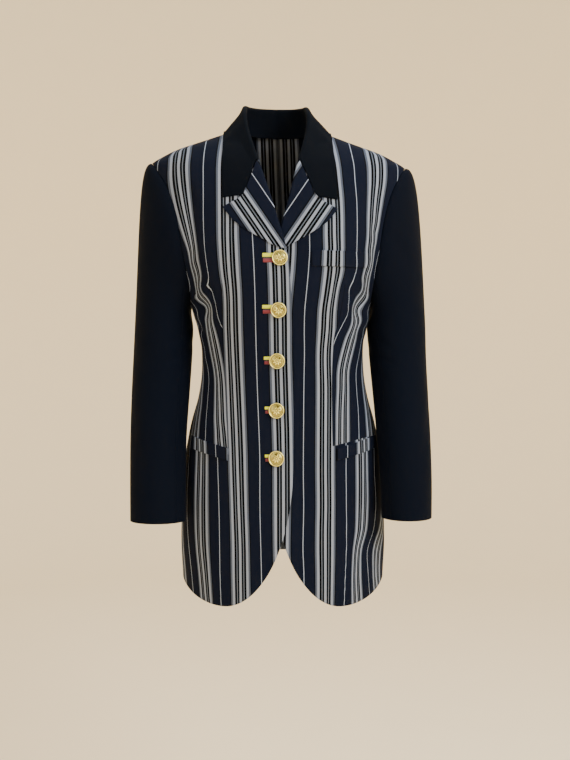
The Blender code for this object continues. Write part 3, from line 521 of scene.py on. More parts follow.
def side_boundary(face):
    """Armhole and side seam of a body piece, from the shoulder to the hem."""
    turn, _, middle = row_levels()
    hole_angle, hole_height = armhole(turn, face)
    skirt = np.linspace(POCKET_LEVEL, SIDE_HEM, SKIRT_ROWS + 1)[1:]
    height = np.concatenate([hole_height, middle, skirt])
    seam = SIDE_ANGLE + seam_shift(face, height)
    angle = np.concatenate([hole_angle, seam[len(hole_angle):]])
    angle[[0, ARMHOLE_STEPS]] = seam[[0, ARMHOLE_STEPS]]
    return angle, height


def front_boundary():
    """Neck, roll line, front edge and upper cut-away of a front."""
    _, inner, middle = row_levels()
    straight = np.concatenate([inner, middle])
    across = front_edge(straight)
    skirt_turn = np.linspace(0.0, math.radians(CUT_AWAY_CORNER), SKIRT_ROWS)
    skirt_height = CUT_AWAY_START + (FRONT_HEM - CUT_AWAY_START) * np.sin(skirt_turn)
    skirt_across = CUT_AWAY_MIDDLE - (CUT_AWAY_MIDDLE + OVERLAP) * np.cos(skirt_turn)
    height = np.concatenate([straight, skirt_height])
    return angle_at(np.concatenate([across, skirt_across]), height), height


def shoulder_seam(side, face):
    """Angles and heights along the shoulder seam from the neck to the sleeve head."""
    share = np.linspace(0.0, 1.0, COLUMNS + 1)
    start = math.radians(SHOULDER_STARTS[side])
    angle = start + (SIDE_ANGLE - start) * share
    height = NECK_POINT + (SHOULDER_POINT - NECK_POINT) * share
    return angle + seam_shift(face, height), height


# %% Rows between the boundaries
def between(left, right, top, bottom, top_share, bottom_share):
    """Values inside a piece from those on its four boundaries."""
    across = np.linspace(0.0, 1.0, len(top))
    straight = left[:, None] * (1 - across) + right[:, None] * across
    top_bulge = top - (top[0] * (1 - across) + top[-1] * across)
    bottom_bulge = bottom - (bottom[0] * (1 - across) + bottom[-1] * across)
    return straight + top_share[:, None] * top_bulge + bottom_share[:, None] * bottom_bulge


def fill_rows(left, right, top, bottom, face):
    """Angles and heights inside a piece, whose boundaries each have angles and heights."""
    row = np.arange(len(left[0]))
    top_share = np.clip(1.0 - row / ARMHOLE_STEPS, 0.0, 1.0) ** 1.5
    bottom_share = np.clip((row - (row[-1] - SKIRT_ROWS)) / SKIRT_ROWS, 0.0, 1.0) ** 2
    sides = (left, right, top, bottom)
    height = between(*[side[1] for side in sides], top_share, bottom_share)
    angle = between(*[side[0] for side in sides], top_share, bottom_share)
    across = between(*[ring(*side)[..., 0] for side in sides], top_share, bottom_share)
    seen = (1.0 - ease(row, FLAT_ROWS * ARMHOLE_STEPS, 1.0 * ARMHOLE_STEPS))[:, None]
    angle = angle * (1.0 - seen) + angle_at(across, height, face) * seen
    angle[0], angle[:, 0], angle[:, -1] = top[0], left[0], right[0]
    return angle, height


def front_layout(side):
    """Angles and heights of a front's rows and columns."""
    left = front_boundary()
    right = side_boundary("front")
    top = shoulder_seam(side, "front")
    left[0][0], left[1][0] = top[0][0], top[1][0]
    right[0][0], right[1][0] = top[0][-1], top[1][-1]
    bottom_angle = np.linspace(left[0][-1], right[0][-1], COLUMNS + 1)
    bottom_height = hem_height(bottom_angle)
    bottom_height[0], bottom_height[-1] = left[1][-1], right[1][-1]
    return fill_rows(left, right, top, (bottom_angle, bottom_height), "front")


def back_layout(side):
    """Angles and heights of a back half's rows and columns."""
    _, inner, middle = row_levels()
    skirt = np.linspace(POCKET_LEVEL, BACK_HEM, SKIRT_ROWS + 1)[1:]
    height = np.concatenate([inner, middle, skirt])
    seam = math.pi - SEAM_GAP / 2.0 / from_table(TORSO, "half_width", height)
    right = side_boundary("back")
    shoulder = shoulder_seam(side, "back")
    neck = np.linspace(seam[0], shoulder[0][0], NECK_COLUMNS + 1)[:-1]
    neck_height = NECK_POINT - NECK_DIP + NECK_DIP * ease(-neck, -seam[0], -shoulder[0][0])
    height[0] = neck_height[0]
    left = (seam, height)
    right[0][0], right[1][0] = shoulder[0][-1], shoulder[1][-1]
    top = (np.concatenate([neck, shoulder[0]]), np.concatenate([neck_height, shoulder[1]]))
    bottom_angle = np.linspace(seam[-1], right[0][-1], len(top[0]))
    bottom = (bottom_angle, hem_height(bottom_angle))
    bottom[1][0], bottom[1][-1] = height[-1], right[1][-1]
    return fill_rows(left, right, top, bottom, "back")


print("front rows and columns", front_layout("right")[0].shape)

# %% [markdown]
# ## Where the stripes run
#
# The cloth is woven with one repeat of about 80 mm: a group of wide, fine, medium, fine and wide
# grey bars, and halfway between two groups a single light line. A stripe number counts the
# repeats across the cloth: whole numbers are light lines and halves are the middles of groups.
# On the coat the stripes bend into the armhole folds, and a dart takes a wedge of cloth out at
# the waist. So each front has a small chart: where each line stands at some heights of the
# picture. Columns beside the waist dart have a chart of their own, and a mask says which counts.

# %% Charts of the stripes on the two fronts
RightChart = namedtuple(
    "RightChart", "y side_line armhole_group chest_line middle_group button_line edge_group")
RIGHT_NUMBERS = (-1.0, -0.5, 0.0, 0.5, 1.0, 1.5)
RIGHT_WHOLE = [
    RightChart(138, 157.0, 181.5, 207.0, 231.0, 256.5, 281.0),
    RightChart(150, 156.3, 180.4, 204.6, 229.0, 254.5, 279.5),
    RightChart(165, 156.0, 178.4, 203.3, 227.4, 253.0, 279.0),
    RightChart(180, 154.5, 179.2, 203.2, 227.2, 252.3, 279.0),
    RightChart(200, 158.0, 182.2, 203.2, 227.3, 251.8, 278.7),
    RightChart(220, 165.0, 186.3, 203.2, 227.5, 251.9, 278.2),
    RightChart(235, 172.0, 189.6, 203.7, 227.5, 252.3, 277.9),
    RightChart(250, 180.5, 192.4, 204.7, 227.9, 253.2, 277.6),
    RightChart(270, 186.0, 196.0, 207.3, 228.9, 254.1, 278.9),
    RightChart(290, 192.0, 199.6, 212.0, 230.6, 254.8, 279.5),
    RightChart(330, 191.5, 201.0, 213.5, 231.8, 255.7, 280.3),
    RightChart(350, 191.0, 201.0, 214.2, 232.6, 256.2, 280.5),
    RightChart(390, 190.5, 201.0, 215.2, 234.5, 257.4, 281.6),
    RightChart(430, 190.2, 200.8, 216.2, 236.2, 258.9, 282.8),
    RightChart(450, 188.6, 201.3, 217.2, 236.9, 259.7, 283.4),
    RightChart(470, 187.4, 201.0, 217.8, 237.5, 259.8, 283.4),
    RightChart(510, 186.4, 200.2, 219.0, 238.8, 259.9, 283.5),
    RightChart(550, 189.2, 201.2, 219.6, 240.2, 260.8, 283.4),
    RightChart(570, 191.3, 203.2, 219.8, 240.4, 261.3, 283.8),
    RightChart(606, 194.5, 206.3, 221.0, 240.9, 262.0, 284.3),
]
RightSide = namedtuple(
    "RightSide", "y side_group side_line armhole_group chest_line middle_group")
RIGHT_SIDE_NUMBERS = (-1.5, -1.0, -0.5, 0.0, 0.5)
RIGHT_SIDE_CHART = [
    RightSide(250, 172.0, 180.5, 192.4, 204.7, 227.9),
    RightSide(270, 176.5, 186.0, 196.0, 207.3, 228.9),
    RightSide(290, 181.5, 192.0, 199.4, 212.0, 230.6),
    RightSide(305, 184.0, 196.0, 204.6, 214.6, 234.0),
    RightSide(320, 186.0, 197.8, 208.0, 218.6, 239.0),
    RightSide(332, 188.0, 200.5, 210.3, 224.0, 245.0),
    RightSide(350, 193.0, 204.0, 213.8, 229.0, 250.0),
    RightSide(376, 197.5, 208.8, 218.0, 233.5, 254.0),
    RightSide(400, 198.0, 207.6, 219.2, 235.5, 256.0),
    RightSide(420, 195.5, 206.0, 219.9, 236.5, 257.0),
    RightSide(440, 193.5, 205.2, 221.8, 239.0, 259.0),
    RightSide(456, 192.5, 204.5, 223.0, 240.0, 260.0),
]
LeftChart = namedtuple(
    "LeftChart", "y edge_group button_line middle_group chest_line armhole_group side_line side_group")
LEFT_NUMBERS = (-0.5, 0.0, 0.5, 1.0, 1.5, 2.0, 2.5)
LEFT_WHOLE = [
    LeftChart(138, 271.0, 298.0, 322.5, 347.5, 372.5, 396.0, 417.0),
    LeftChart(150, 275.0, 301.5, 326.4, 350.7, 374.5, 397.8, 418.0),
    LeftChart(165, 279.0, 305.0, 329.5, 353.9, 377.4, 398.5, 418.0),
    LeftChart(180, 281.5, 307.5, 331.5, 355.0, 377.6, 398.0, 417.0),
    LeftChart(200, 284.0, 309.5, 333.4, 356.8, 375.6, 393.5, 410.0),
    LeftChart(220, 285.0, 310.0, 334.3, 357.3, 374.2, 388.0, 401.0),
    LeftChart(235, 285.2, 309.6, 334.5, 357.3, 374.0, 383.5, 393.0),
    LeftChart(250, 285.2, 309.7, 335.0, 357.0, 371.5, 379.5, 388.0),
    LeftChart(270, 284.0, 308.5, 334.2, 356.7, 368.6, 375.0, 382.0),
    LeftChart(290, 282.0, 306.7, 331.6, 349.0, 364.0, 373.0, 380.0),
    LeftChart(310, 280.5, 304.8, 328.5, 347.0, 363.2, 373.0, 380.0),
    LeftChart(330, 280.0, 304.3, 327.3, 346.6, 363.0, 373.0, 380.0),
    LeftChart(350, 280.0, 304.5, 325.4, 346.3, 362.8, 373.0, 380.0),
    LeftChart(390, 279.8, 303.9, 325.9, 346.2, 362.5, 373.5, 380.5),
    LeftChart(430, 279.8, 303.6, 325.7, 346.2, 362.3, 374.0, 381.0),
    LeftChart(470, 279.8, 303.3, 325.6, 346.2, 363.3, 374.3, 381.3),
    LeftChart(510, 280.0, 303.7, 325.8, 346.5, 362.9, 375.7, 382.3),
    LeftChart(530, 279.6, 303.3, 325.4, 346.7, 361.8, 373.6, 380.8),
    LeftChart(550, 279.4, 303.0, 325.4, 346.6, 357.6, 367.5, 376.8),
    LeftChart(570, 280.0, 303.8, 325.5, 345.8, 356.2, 368.0, 375.8),
    LeftChart(606, 280.5, 304.3, 325.4, 344.3, 357.0, 371.0, 378.0),
]
LeftSide = namedtuple("LeftSide", "y middle_group chest_line armhole_group side_line side_group")
LEFT_SIDE_NUMBERS = (0.5, 1.0, 1.5, 2.0, 2.5)
LEFT_SIDE_CHART = [
    LeftSide(250, 335.0, 357.0, 371.5, 379.5, 388.0),
    LeftSide(270, 334.2, 356.7, 368.6, 375.0, 382.0),
    LeftSide(290, 331.6, 349.0, 364.0, 373.0, 380.0),
    LeftSide(300, 329.0, 349.6, 360.3, 371.5, 379.0),
    LeftSide(312, 327.0, 349.0, 358.2, 370.0, 378.0),
    LeftSide(325, 322.0, 342.5, 357.0, 367.5, 376.0),
    LeftSide(338, 316.0, 336.0, 352.0, 363.5, 373.0),
    LeftSide(350, 312.0, 332.0, 348.6, 360.8, 371.0),
    LeftSide(370, 308.0, 328.0, 344.3, 356.3, 368.5),
    LeftSide(390, 307.5, 327.5, 343.6, 356.7, 368.5),
    LeftSide(410, 307.0, 327.0, 342.6, 358.3, 370.2),
    LeftSide(430, 307.0, 327.0, 342.3, 359.0, 372.0),
    LeftSide(456, 307.0, 327.0, 342.0, 359.5, 374.0),
]
DartPoint = namedtuple("DartPoint", "y right left")
DARTS = [
    DartPoint(250, 221.0, 348.0),
    DartPoint(288, 222.0, 344.6),
    DartPoint(310, 222.2, 341.0),
    DartPoint(324, 222.4, 338.2),
    DartPoint(336, 222.8, 334.4),
    DartPoint(350, 223.6, 333.2),
    DartPoint(370, 224.6, 332.3),
    DartPoint(390, 226.0, 332.0),
    DartPoint(410, 226.8, 332.2),
    DartPoint(430, 227.3, 332.4),
    DartPoint(460, 228.2, 333.4),
]
Swirl = namedtuple("Swirl", "side x y wide tall shift")
SWIRLS = [                            # where drag folds carry the stripes sideways, in pixels
    Swirl("right", 204.5, 287.0, 5.5, 7.0, 5.2),
    Swirl("right", 207.0, 309.0, 6.5, 9.0, -4.4),
    Swirl("right", 196.5, 301.0, 4.5, 8.0, 2.4),
    Swirl("right", 200.0, 326.0, 6.0, 7.0, -1.8),
    Swirl("right", 194.0, 262.0, 4.0, 9.0, 1.6),
    Swirl("left", 358.5, 287.0, 5.5, 7.0, -5.4),
    Swirl("left", 356.5, 310.0, 6.5, 9.0, 4.2),
    Swirl("left", 367.0, 300.0, 4.5, 8.0, -2.2),
    Swirl("left", 360.0, 330.0, 6.0, 7.0, 1.8),
    Swirl("left", 369.5, 262.0, 4.0, 9.0, -1.8),
    Swirl("left", 374.0, 232.0, 4.0, 7.0, 1.6),
]
POCKET_TOPS = {                       # outer and inner end of each hip welt's upper edge
    "right": ((189.0, 437.0), (227.8, 449.3)),
    "left": ((374.3, 435.0), (336.8, 445.2)),
}
print("charted heights", len(RIGHT_WHOLE), len(LEFT_WHOLE))

# %% Reading a stripe number off a chart
REPEAT = 0.080
CHART_END = math.radians(62.0)        # past this angle the stripes are counted by cloth length
LENGTH_STEPS = 16
SIDE_CHART_TOP = (250.0, 268.0)       # pixels between which the chart beside the dart takes over
BACK_SEAM_NUMBER = 0.26               # where the centre back seam cuts the repeat


def in_picture(point):
    """Pixel place of points in the photograph's frame."""
    scale = PIXEL * (point[..., 1] - EYE.y) / -EYE.y
    x = 0.5 * PICTURE[0] + (point[..., 0] - EYE.x) / scale
    y = 0.5 * PICTURE[1] - HORIZON_UP - (point[..., 2] - EYE.z) / scale
    return x, y


def read_chart(chart, numbers, x, y):
    """Stripe number between the charted lines at a picture place."""
    heights = column(chart, "y")
    lines = np.stack([curve(heights, column(chart, name), y) for name in chart[0]._fields[1:]])
    number = np.zeros(x.shape)
    for k in range(len(numbers) - 1):
        share = (x - lines[k]) / (lines[k + 1] - lines[k])
        here = (share >= 0.0) | (k == 0)
        number = np.where(here, numbers[k] + share * (numbers[k + 1] - numbers[k]), number)
    return number


def cloth_length(start, end, height):
    """Length of cloth round the torso from one angle to another at a height."""
    total = np.zeros(np.shape(height))
    step = (end - start) / LENGTH_STEPS
    for k in range(LENGTH_STEPS):
        here = ring(start + k * step, height)
        total = total + np.linalg.norm(ring(start + (k + 1) * step, height) - here, axis=-1)
    return np.where(end > start, total, -total)


def swirl_shift(side, x, y):
    """How far beside a place the chart is read, near the drag folds."""
    total = np.zeros(x.shape)
    for swirl in SWIRLS:
        if swirl.side == side:
            away = ((x - swirl.x) / swirl.wide) ** 2 + ((y - swirl.y) / swirl.tall) ** 2
            total += swirl.shift * np.exp(-away)
    return total


def front_numbers(side, angle, height, level=0.0):
    """Stripe numbers by both charts of a front, and pixels past its dart and above its pocket."""
    seen = np.minimum(angle, CHART_END)
    x, y = in_picture(worn(body(seen, height, side, level)))
    hidden = SIGN[side] * cloth_length(seen, angle, height) / REPEAT
    whole, numbers = (RIGHT_WHOLE, RIGHT_NUMBERS) if side == "right" else (LEFT_WHOLE, LEFT_NUMBERS)
    part, part_numbers = ((RIGHT_SIDE_CHART, RIGHT_SIDE_NUMBERS) if side == "right"
                          else (LEFT_SIDE_CHART, LEFT_SIDE_NUMBERS))
    looked_at = x + swirl_shift(side, x, y)
    main = read_chart(whole, numbers, looked_at, y) + hidden
    beside = read_chart(part, part_numbers, looked_at, y) + hidden
    dart = curve(column(DARTS, "y"), column(DARTS, side), y)
    (x_outer, y_outer), (x_inner, y_inner) = POCKET_TOPS[side]
    pocket = y_outer + (y_inner - y_outer) * (x - x_outer) / (x_inner - x_outer)
    beside = main + (beside - main) * ease(y, *SIDE_CHART_TOP)
    return main, beside, SIGN[side] * (x - dart), pocket - y


def back_numbers(side, angle, height):
    """Stripe numbers on a back half, counted along the cloth from its centre seam."""
    seam = np.full(np.shape(angle), math.pi)
    return BACK_SEAM_NUMBER + cloth_length(angle, seam, height) / REPEAT


sample = front_numbers("left", np.array([0.08]), np.array([-0.35]))[0]
print("stripe number at 0.08 rad", np.round(sample, 2))

# %% [markdown]
# ## Cloth finishes
#
# The pattern, the weave and the soft unevenness of worn cloth are used by several finishes, so
# each is a node group: built once, placed in each material, and given that material's values.
# The groups put out colours, masks and heights. The shader stays in the material.

# %% Helpers for node groups
def srgb(red, green, blue):
    """Linear colour from a picture's 0 to 255 values."""
    values = [v / 255.0 for v in (red, green, blue)]
    return tuple(v / 12.92 if v <= 0.04045 else ((v + 0.055) / 1.055) ** 2.4 for v in values) + (1.0,)


def new_group(name, inputs, outputs):
    """Empty shader node group with named sockets."""
    group = bpy.data.node_groups.new(name, "ShaderNodeTree")
    for label, kind in inputs:
        group.interface.new_socket(label, in_out="INPUT", socket_type=kind)
    for label, kind in outputs:
        group.interface.new_socket(label, in_out="OUTPUT", socket_type=kind)
    return group, group.nodes.new("NodeGroupInput"), group.nodes.new("NodeGroupOutput")


def math_node(tree, operation, first, second=None, third=None):
    """Math node whose inputs are links or numbers."""
    node = tree.nodes.new("ShaderNodeMath")
    node.operation = operation
    for socket, value in zip(node.inputs, (first, second, third)):
        if value is None:
            continue
        if isinstance(value, (int, float)):
            socket.default_value = value
        else:
            tree.links.new(value, socket)
    return node.outputs[0]


def mix_colour(tree, factor, first, second):
    """Mix of two colours by a factor."""
    node = tree.nodes.new("ShaderNodeMix")
    node.data_type = "RGBA"
    for socket, value in ((node.inputs[0], factor), (node.inputs[6], first), (node.inputs[7], second)):
        if isinstance(value, (int, float, tuple)):
            socket.default_value = value
        else:
            tree.links.new(value, socket)
    return node.outputs[2]


def new_material(name):
    """Material with its node tree and shader."""
    material = bpy.data.materials.new(name)
    material.use_nodes = True
    return material, material.node_tree, material.node_tree.nodes["Principled BSDF"]


def noise(tree, place, scale, detail):
    """Value of a noise texture at a place."""
    node = tree.nodes.new("ShaderNodeTexNoise")
    node.inputs["Scale"].default_value = scale
    node.inputs["Detail"].default_value = detail
    tree.links.new(place, node.inputs["Vector"])
    return node.outputs["Fac"]


def add_relief(tree, shader, height, strength, distance):
    """Bump on a shader from a height."""
    relief = tree.nodes.new("ShaderNodeBump")
    relief.inputs["Strength"].default_value = strength
    relief.inputs["Distance"].default_value = distance
    tree.links.new(height, relief.inputs["Height"])
    tree.links.new(relief.outputs["Normal"], shader.inputs["Normal"])


# %% Woven stripes
STRIPE_BARS = [                       # share of half a repeat where each bar starts, and its yarn
    (0.000, "medium"), (0.056, "black"), (0.140, "fine"), (0.178, "black"), (0.276, "wide"),
    (0.386, "loose"), (0.466, "black"), (0.514, "navy"), (0.958, "black"), (0.981, "light"),
]
YARNS = {
    "medium": srgb(120, 127, 141), "fine": srgb(88, 95, 107), "wide": srgb(121, 128, 143),
    "loose": srgb(67, 73, 86), "light": srgb(140, 149, 167), "black": srgb(2, 3, 5),
    "navy": srgb(10, 15, 29),
}
stripes, stripes_in, stripes_out = new_group(
    "woven stripes", [("Number", "NodeSocketFloat")], [("Color", "NodeSocketColor")])
across_repeat = math_node(stripes, "FRACT", stripes_in.outputs["Number"])
from_middle = math_node(stripes, "ABSOLUTE", math_node(stripes, "SUBTRACT", across_repeat, 0.5))
ramp = stripes.nodes.new("ShaderNodeValToRGB")
ramp.color_ramp.interpolation = "CONSTANT"
stripes.links.new(math_node(stripes, "MULTIPLY", from_middle, 2.0), ramp.inputs["Fac"])
for index, (start, yarn) in enumerate(STRIPE_BARS):
    stop = ramp.color_ramp.elements[0] if index == 0 else ramp.color_ramp.elements.new(start)
    stop.position = start
    stop.color = YARNS[yarn]
ramp.color_ramp.elements.remove(ramp.color_ramp.elements[-1])
stripes.links.new(ramp.outputs["Color"], stripes_out.inputs["Color"])
print("bars in half a repeat", len(ramp.color_ramp.elements))

# %% Weave and unevenness
weave, weave_in, weave_out = new_group(
    "wool weave",
    [("Vector", "NodeSocketVector"), ("Color", "NodeSocketColor"), ("Unevenness", "NodeSocketFloat")],
    [("Color", "NodeSocketColor"), ("Roughness", "NodeSocketFloat"), ("Height", "NodeSocketFloat")])
TWILL_WIDTH = 0.0011
TWILL_TURNS = 2.0 * math.pi / TWILL_WIDTH
place = weave.nodes.new("ShaderNodeSeparateXYZ")
weave.links.new(weave_in.outputs["Vector"], place.inputs[0])
diagonal = math_node(weave, "ADD", math_node(weave, "MULTIPLY", place.outputs["X"], TWILL_TURNS),
                     math_node(weave, "MULTIPLY", place.outputs["Z"], TWILL_TURNS))
twill = math_node(weave, "MULTIPLY_ADD", math_node(weave, "SINE", diagonal), 0.5, 0.5)
fibre = noise(weave, weave_in.outputs["Vector"], scale=900.0, detail=3.0)
cloud = noise(weave, weave_in.outputs["Vector"], scale=9.0, detail=4.0)
height_sum = math_node(weave, "ADD", math_node(weave, "MULTIPLY", twill, 0.5),
                       math_node(weave, "MULTIPLY", fibre, 0.7))
weave.links.new(height_sum, weave_out.inputs["Height"])
darker = math_node(weave, "MULTIPLY", math_node(weave, "SUBTRACT", cloud, 0.5),
                   weave_in.outputs["Unevenness"])
yarn_shade = math_node(weave, "MULTIPLY_ADD", fibre, 0.22, 0.89)
shade = math_node(weave, "ADD", yarn_shade, darker)
shaded = weave.nodes.new("ShaderNodeVectorMath")
shaded.operation = "SCALE"
weave.links.new(weave_in.outputs["Color"], shaded.inputs[0])
weave.links.new(shade, shaded.inputs["Scale"])
weave.links.new(shaded.outputs["Vector"], weave_out.inputs["Color"])
rough = math_node(weave, "MULTIPLY_ADD", cloud, 0.12, 0.76)
weave.links.new(rough, weave_out.inputs["Roughness"])
print("weave nodes", len(weave.nodes))

# %% [markdown]
# A cloth material joins a colour to the weave. The wool has a very faint sheen, which greys the
# dark yarns a little near the outline, where light grazes the fibres. That is a plain number on
# the shader's own socket. Object coordinates keep the weave at its true scale on every piece.

# %% Cloth materials
WOOL_SHEEN = 0.01
WOOL_SHEEN_ROUGHNESS = 0.45
WOOL_SPECULAR = 0.05
WOOL_BUMP = 0.35
WEAVE_RELIEF = 0.0003                 # height of the weave in metres


def cloth_material(name, sheen, bump, unevenness):
    """Material with the weave in place, still without a colour."""
    material, tree, shader = new_material(name)
    shader.inputs["Sheen Weight"].default_value = sheen
    shader.inputs["Sheen Roughness"].default_value = WOOL_SHEEN_ROUGHNESS
    shader.inputs["Specular IOR Level"].default_value = WOOL_SPECULAR
    coordinates = tree.nodes.new("ShaderNodeTexCoord")
    wool = tree.nodes.new("ShaderNodeGroup")
    wool.node_tree = weave
    wool.inputs["Unevenness"].default_value = unevenness
    tree.links.new(coordinates.outputs["Object"], wool.inputs["Vector"])
    tree.links.new(wool.outputs["Color"], shader.inputs["Base Color"])
    tree.links.new(wool.outputs["Roughness"], shader.inputs["Roughness"])
    add_relief(tree, shader, wool.outputs["Height"], bump, WEAVE_RELIEF)
    return material, tree, wool


def plain_wool(name, colour):
    """Piece-dyed wool of one colour."""
    material, _, wool = cloth_material(name, WOOL_SHEEN, WOOL_BUMP, unevenness=0.30)
    wool.inputs["Color"].default_value = colour
    return material


SEAM_SHADE_WIDTH = 0.7                # pixels on each side of a sewn dart that lie in its shade
SEAM_SHADE = 0.75
DART_TOP = -0.262


def uv_values(tree, name):
    """Both values of a UV map as sockets."""
    node = tree.nodes.new("ShaderNodeUVMap")
    node.uv_map = name
    split = tree.nodes.new("ShaderNodeSeparateXYZ")
    tree.links.new(node.outputs["UV"], split.inputs[0])
    return split.outputs["X"], split.outputs["Y"]


def striped_wool(name, beside_dart=False):
    """Wool with the woven stripes, which read their number from the piece's own UV map."""
    material, tree, wool = cloth_material(name, WOOL_SHEEN, WOOL_BUMP, unevenness=0.16)
    pattern = tree.nodes.new("ShaderNodeGroup")
    pattern.node_tree = stripes
    number, height = uv_values(tree, "stripes")
    if not beside_dart:
        tree.links.new(number, pattern.inputs["Number"])
        tree.links.new(pattern.outputs["Color"], wool.inputs["Color"])
        return material
    other, _ = uv_values(tree, "beside_dart")
    past_dart, over_pocket = uv_values(tree, "edges")
    above = math_node(tree, "GREATER_THAN", over_pocket, 0.0)
    inside = math_node(tree, "MULTIPLY", math_node(tree, "GREATER_THAN", past_dart, 0.0), above)
    gap = math_node(tree, "SUBTRACT", other, number)
    tree.links.new(math_node(tree, "MULTIPLY_ADD", gap, inside, number), pattern.inputs["Number"])
    beside_seam = math_node(tree, "DIVIDE", math_node(tree, "ABSOLUTE", past_dart), SEAM_SHADE_WIDTH)
    near = math_node(tree, "MAXIMUM", math_node(tree, "SUBTRACT", 1.0, beside_seam), 0.0)
    sewn = math_node(tree, "MULTIPLY", math_node(tree, "LESS_THAN", height, DART_TOP), above)
    shade = math_node(tree, "MULTIPLY", math_node(tree, "MULTIPLY", near, sewn), SEAM_SHADE)
    shaded_pattern = mix_colour(tree, shade, pattern.outputs["Color"], YARNS["black"])
    tree.links.new(shaded_pattern, wool.inputs["Color"])
    return material


front_cloth = striped_wool("front_cloth", beside_dart=True)
striped_cloth = striped_wool("striped_cloth")
sleeve_cloth = plain_wool("sleeve_cloth", srgb(3, 7, 18))
collar_cloth = plain_wool("collar_cloth", srgb(2, 5, 12))
card, _, card_wool = cloth_material("backdrop_card", sheen=0.0, bump=0.05, unevenness=0.03)
card_wool.inputs["Color"].default_value = srgb(255, 236, 200)
backdrop.data.materials.append(card)
print("materials", [m.name for m in (front_cloth, striped_cloth, sleeve_cloth, collar_cloth, card)])

# %% [markdown]
# ## Making a piece of cloth
#
# Every skin is a grid laid on its rows of points. Solidify gives it its thickness inwards, so
# its outer face stays where it was measured, and a small bevel rounds the folded edges. Rides,
# replaced solids and the flat size of the cut are declared at once.

# %% Grid to cloth
EDGE_ROUNDING = 0.3                   # bevel's width as a share of the cloth's thickness
EDGE_ANGLE = 55.0                     # degrees past which an edge is rounded
made = []


def add_uv(data, name, values):
    """UV map from a value pair at each vertex."""
    layer = data.uv_layers.new(name=name)
    corner = np.empty(len(data.loops), dtype=np.int32)
    data.loops.foreach_get("vertex_index", corner)
    layer.data.foreach_set("uv", np.asarray(values, np.float32).reshape(-1, 2)[corner].reshape(-1))


def flat_size(points):
    """Width, length and area of the cut, measured over its rows and columns."""
    along_row = np.linalg.norm(np.diff(points, axis=1), axis=-1).sum(axis=1).max()
    along_column = np.linalg.norm(np.diff(points, axis=0), axis=-1).sum(axis=0).max()
    a, b, c, d = points[:-1, :-1], points[:-1, 1:], points[1:, 1:], points[1:, :-1]
    area = 0.5 * np.linalg.norm(np.cross(c - a, d - b), axis=-1).sum()
    return float(along_row), float(along_column), float(area)


def add_wall(piece, name, thickness):
    """Thickness inwards from the outer face."""
    wall = piece.modifiers.new(name, "SOLIDIFY")
    wall.thickness = thickness
    wall.offset = -1.0


def cloth_piece(name, points, sign, thickness, material, uvs):
    """Fine sheet of cloth with rounded edges; sign turns its outer face outwards."""
    data = grid_mesh(name, points)
    if sign < 0:
        data.flip_normals()
    for uv_name, values in uvs.items():
        add_uv(data, uv_name, values)
    data.materials.append(material)
    data.shade_smooth()
    piece = add_object(name, data)
    add_wall(piece, "cloth thickness", thickness)
    edge = piece.modifiers.new("folded edge", "BEVEL")
    edge.width = EDGE_ROUNDING * thickness
    edge.segments = 2
    edge.limit_method = "ANGLE"
    edge.angle_limit = math.radians(EDGE_ANGLE)
    return piece


def declare(piece, node, points):
    """Ride, replaced solid and flat size of one piece."""
    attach(piece, "root")
    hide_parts(node)
    width, length, area = flat_size(points)
    made.append((piece.name, width, length, area))
    print("%s: %.0f x %.0f mm, %.4f square metres" % (piece.name, width * 1000, length * 1000, area))


# %% [markdown]
# ## Fronts and backs
#
# The right front lies on the left one and carries the buttons. The back is cut in two halves
# with a seam down its middle, from which the stripes are counted to both sides alike.

# %% Fronts
for side in ("right", "left"):
    angle, height = front_layout(side)
    points = worn(body(angle, height, side))
    main, beside, past_dart, over_pocket = front_numbers(side, angle, height)
    uvs = {"stripes": np.stack([main, height], axis=-1),
           "beside_dart": np.stack([beside, height], axis=-1),
           "edges": np.stack([past_dart, over_pocket], axis=-1)}
    front = cloth_piece("front_cloth_" + side, points, -SIGN[side], CLOTH, front_cloth, uvs)
    declare(front, "front_" + side, points)

# %% Backs
for side in ("right", "left"):
    angle, height = back_layout(side)
    points = worn(body(angle, height, side))
    uvs = {"stripes": np.stack([back_numbers(side, angle, height), height], axis=-1)}
    back = cloth_piece("back_cloth_" + side, points, SIGN[side], CLOTH, striped_cloth, uvs)
    declare(back, "back_" + side, points)

# %% [markdown]
# ## Sleeves
#
# A sleeve leaves the armhole outwards, turns down over the shoulder and becomes a slightly bent
# tube. Its upper and under pieces meet in two seams. The cap is a smooth curve from each place
# on the armhole to the tube, and the tube follows a table of oval sections.

# %% Sleeve tables
Tube = namedtuple("Tube", "height middle_x middle_y half_width half_depth")
SLEEVES = {
    "right": [
        Tube(-0.650, -0.2000, -0.078, 0.0452, 0.0410),
        Tube(-0.580, -0.2020, -0.061, 0.0458, 0.0435),
        Tube(-0.510, -0.2032, -0.042, 0.0466, 0.0470),
        Tube(-0.440, -0.2018, -0.022, 0.0485, 0.0510),
        Tube(-0.380, -0.1998, -0.008, 0.0495, 0.0545),
        Tube(-0.330, -0.1982, -0.001, 0.0496, 0.0575),
        Tube(-0.290, -0.1965, 0.003, 0.0500, 0.0600),
    ],
    "left": [
        Tube(-0.650, 0.2050, -0.078, 0.0405, 0.0445),
        Tube(-0.580, 0.2055, -0.061, 0.0425, 0.0455),
        Tube(-0.510, 0.2035, -0.042, 0.0445, 0.0480),
        Tube(-0.440, 0.2003, -0.022, 0.0463, 0.0515),
        Tube(-0.380, 0.1972, -0.008, 0.0480, 0.0545),
        Tube(-0.330, 0.1952, -0.001, 0.0496, 0.0575),
        Tube(-0.290, 0.1935, 0.003, 0.0500, 0.0600),
    ],
}
CUFF = {"right": -0.646, "left": -0.641}
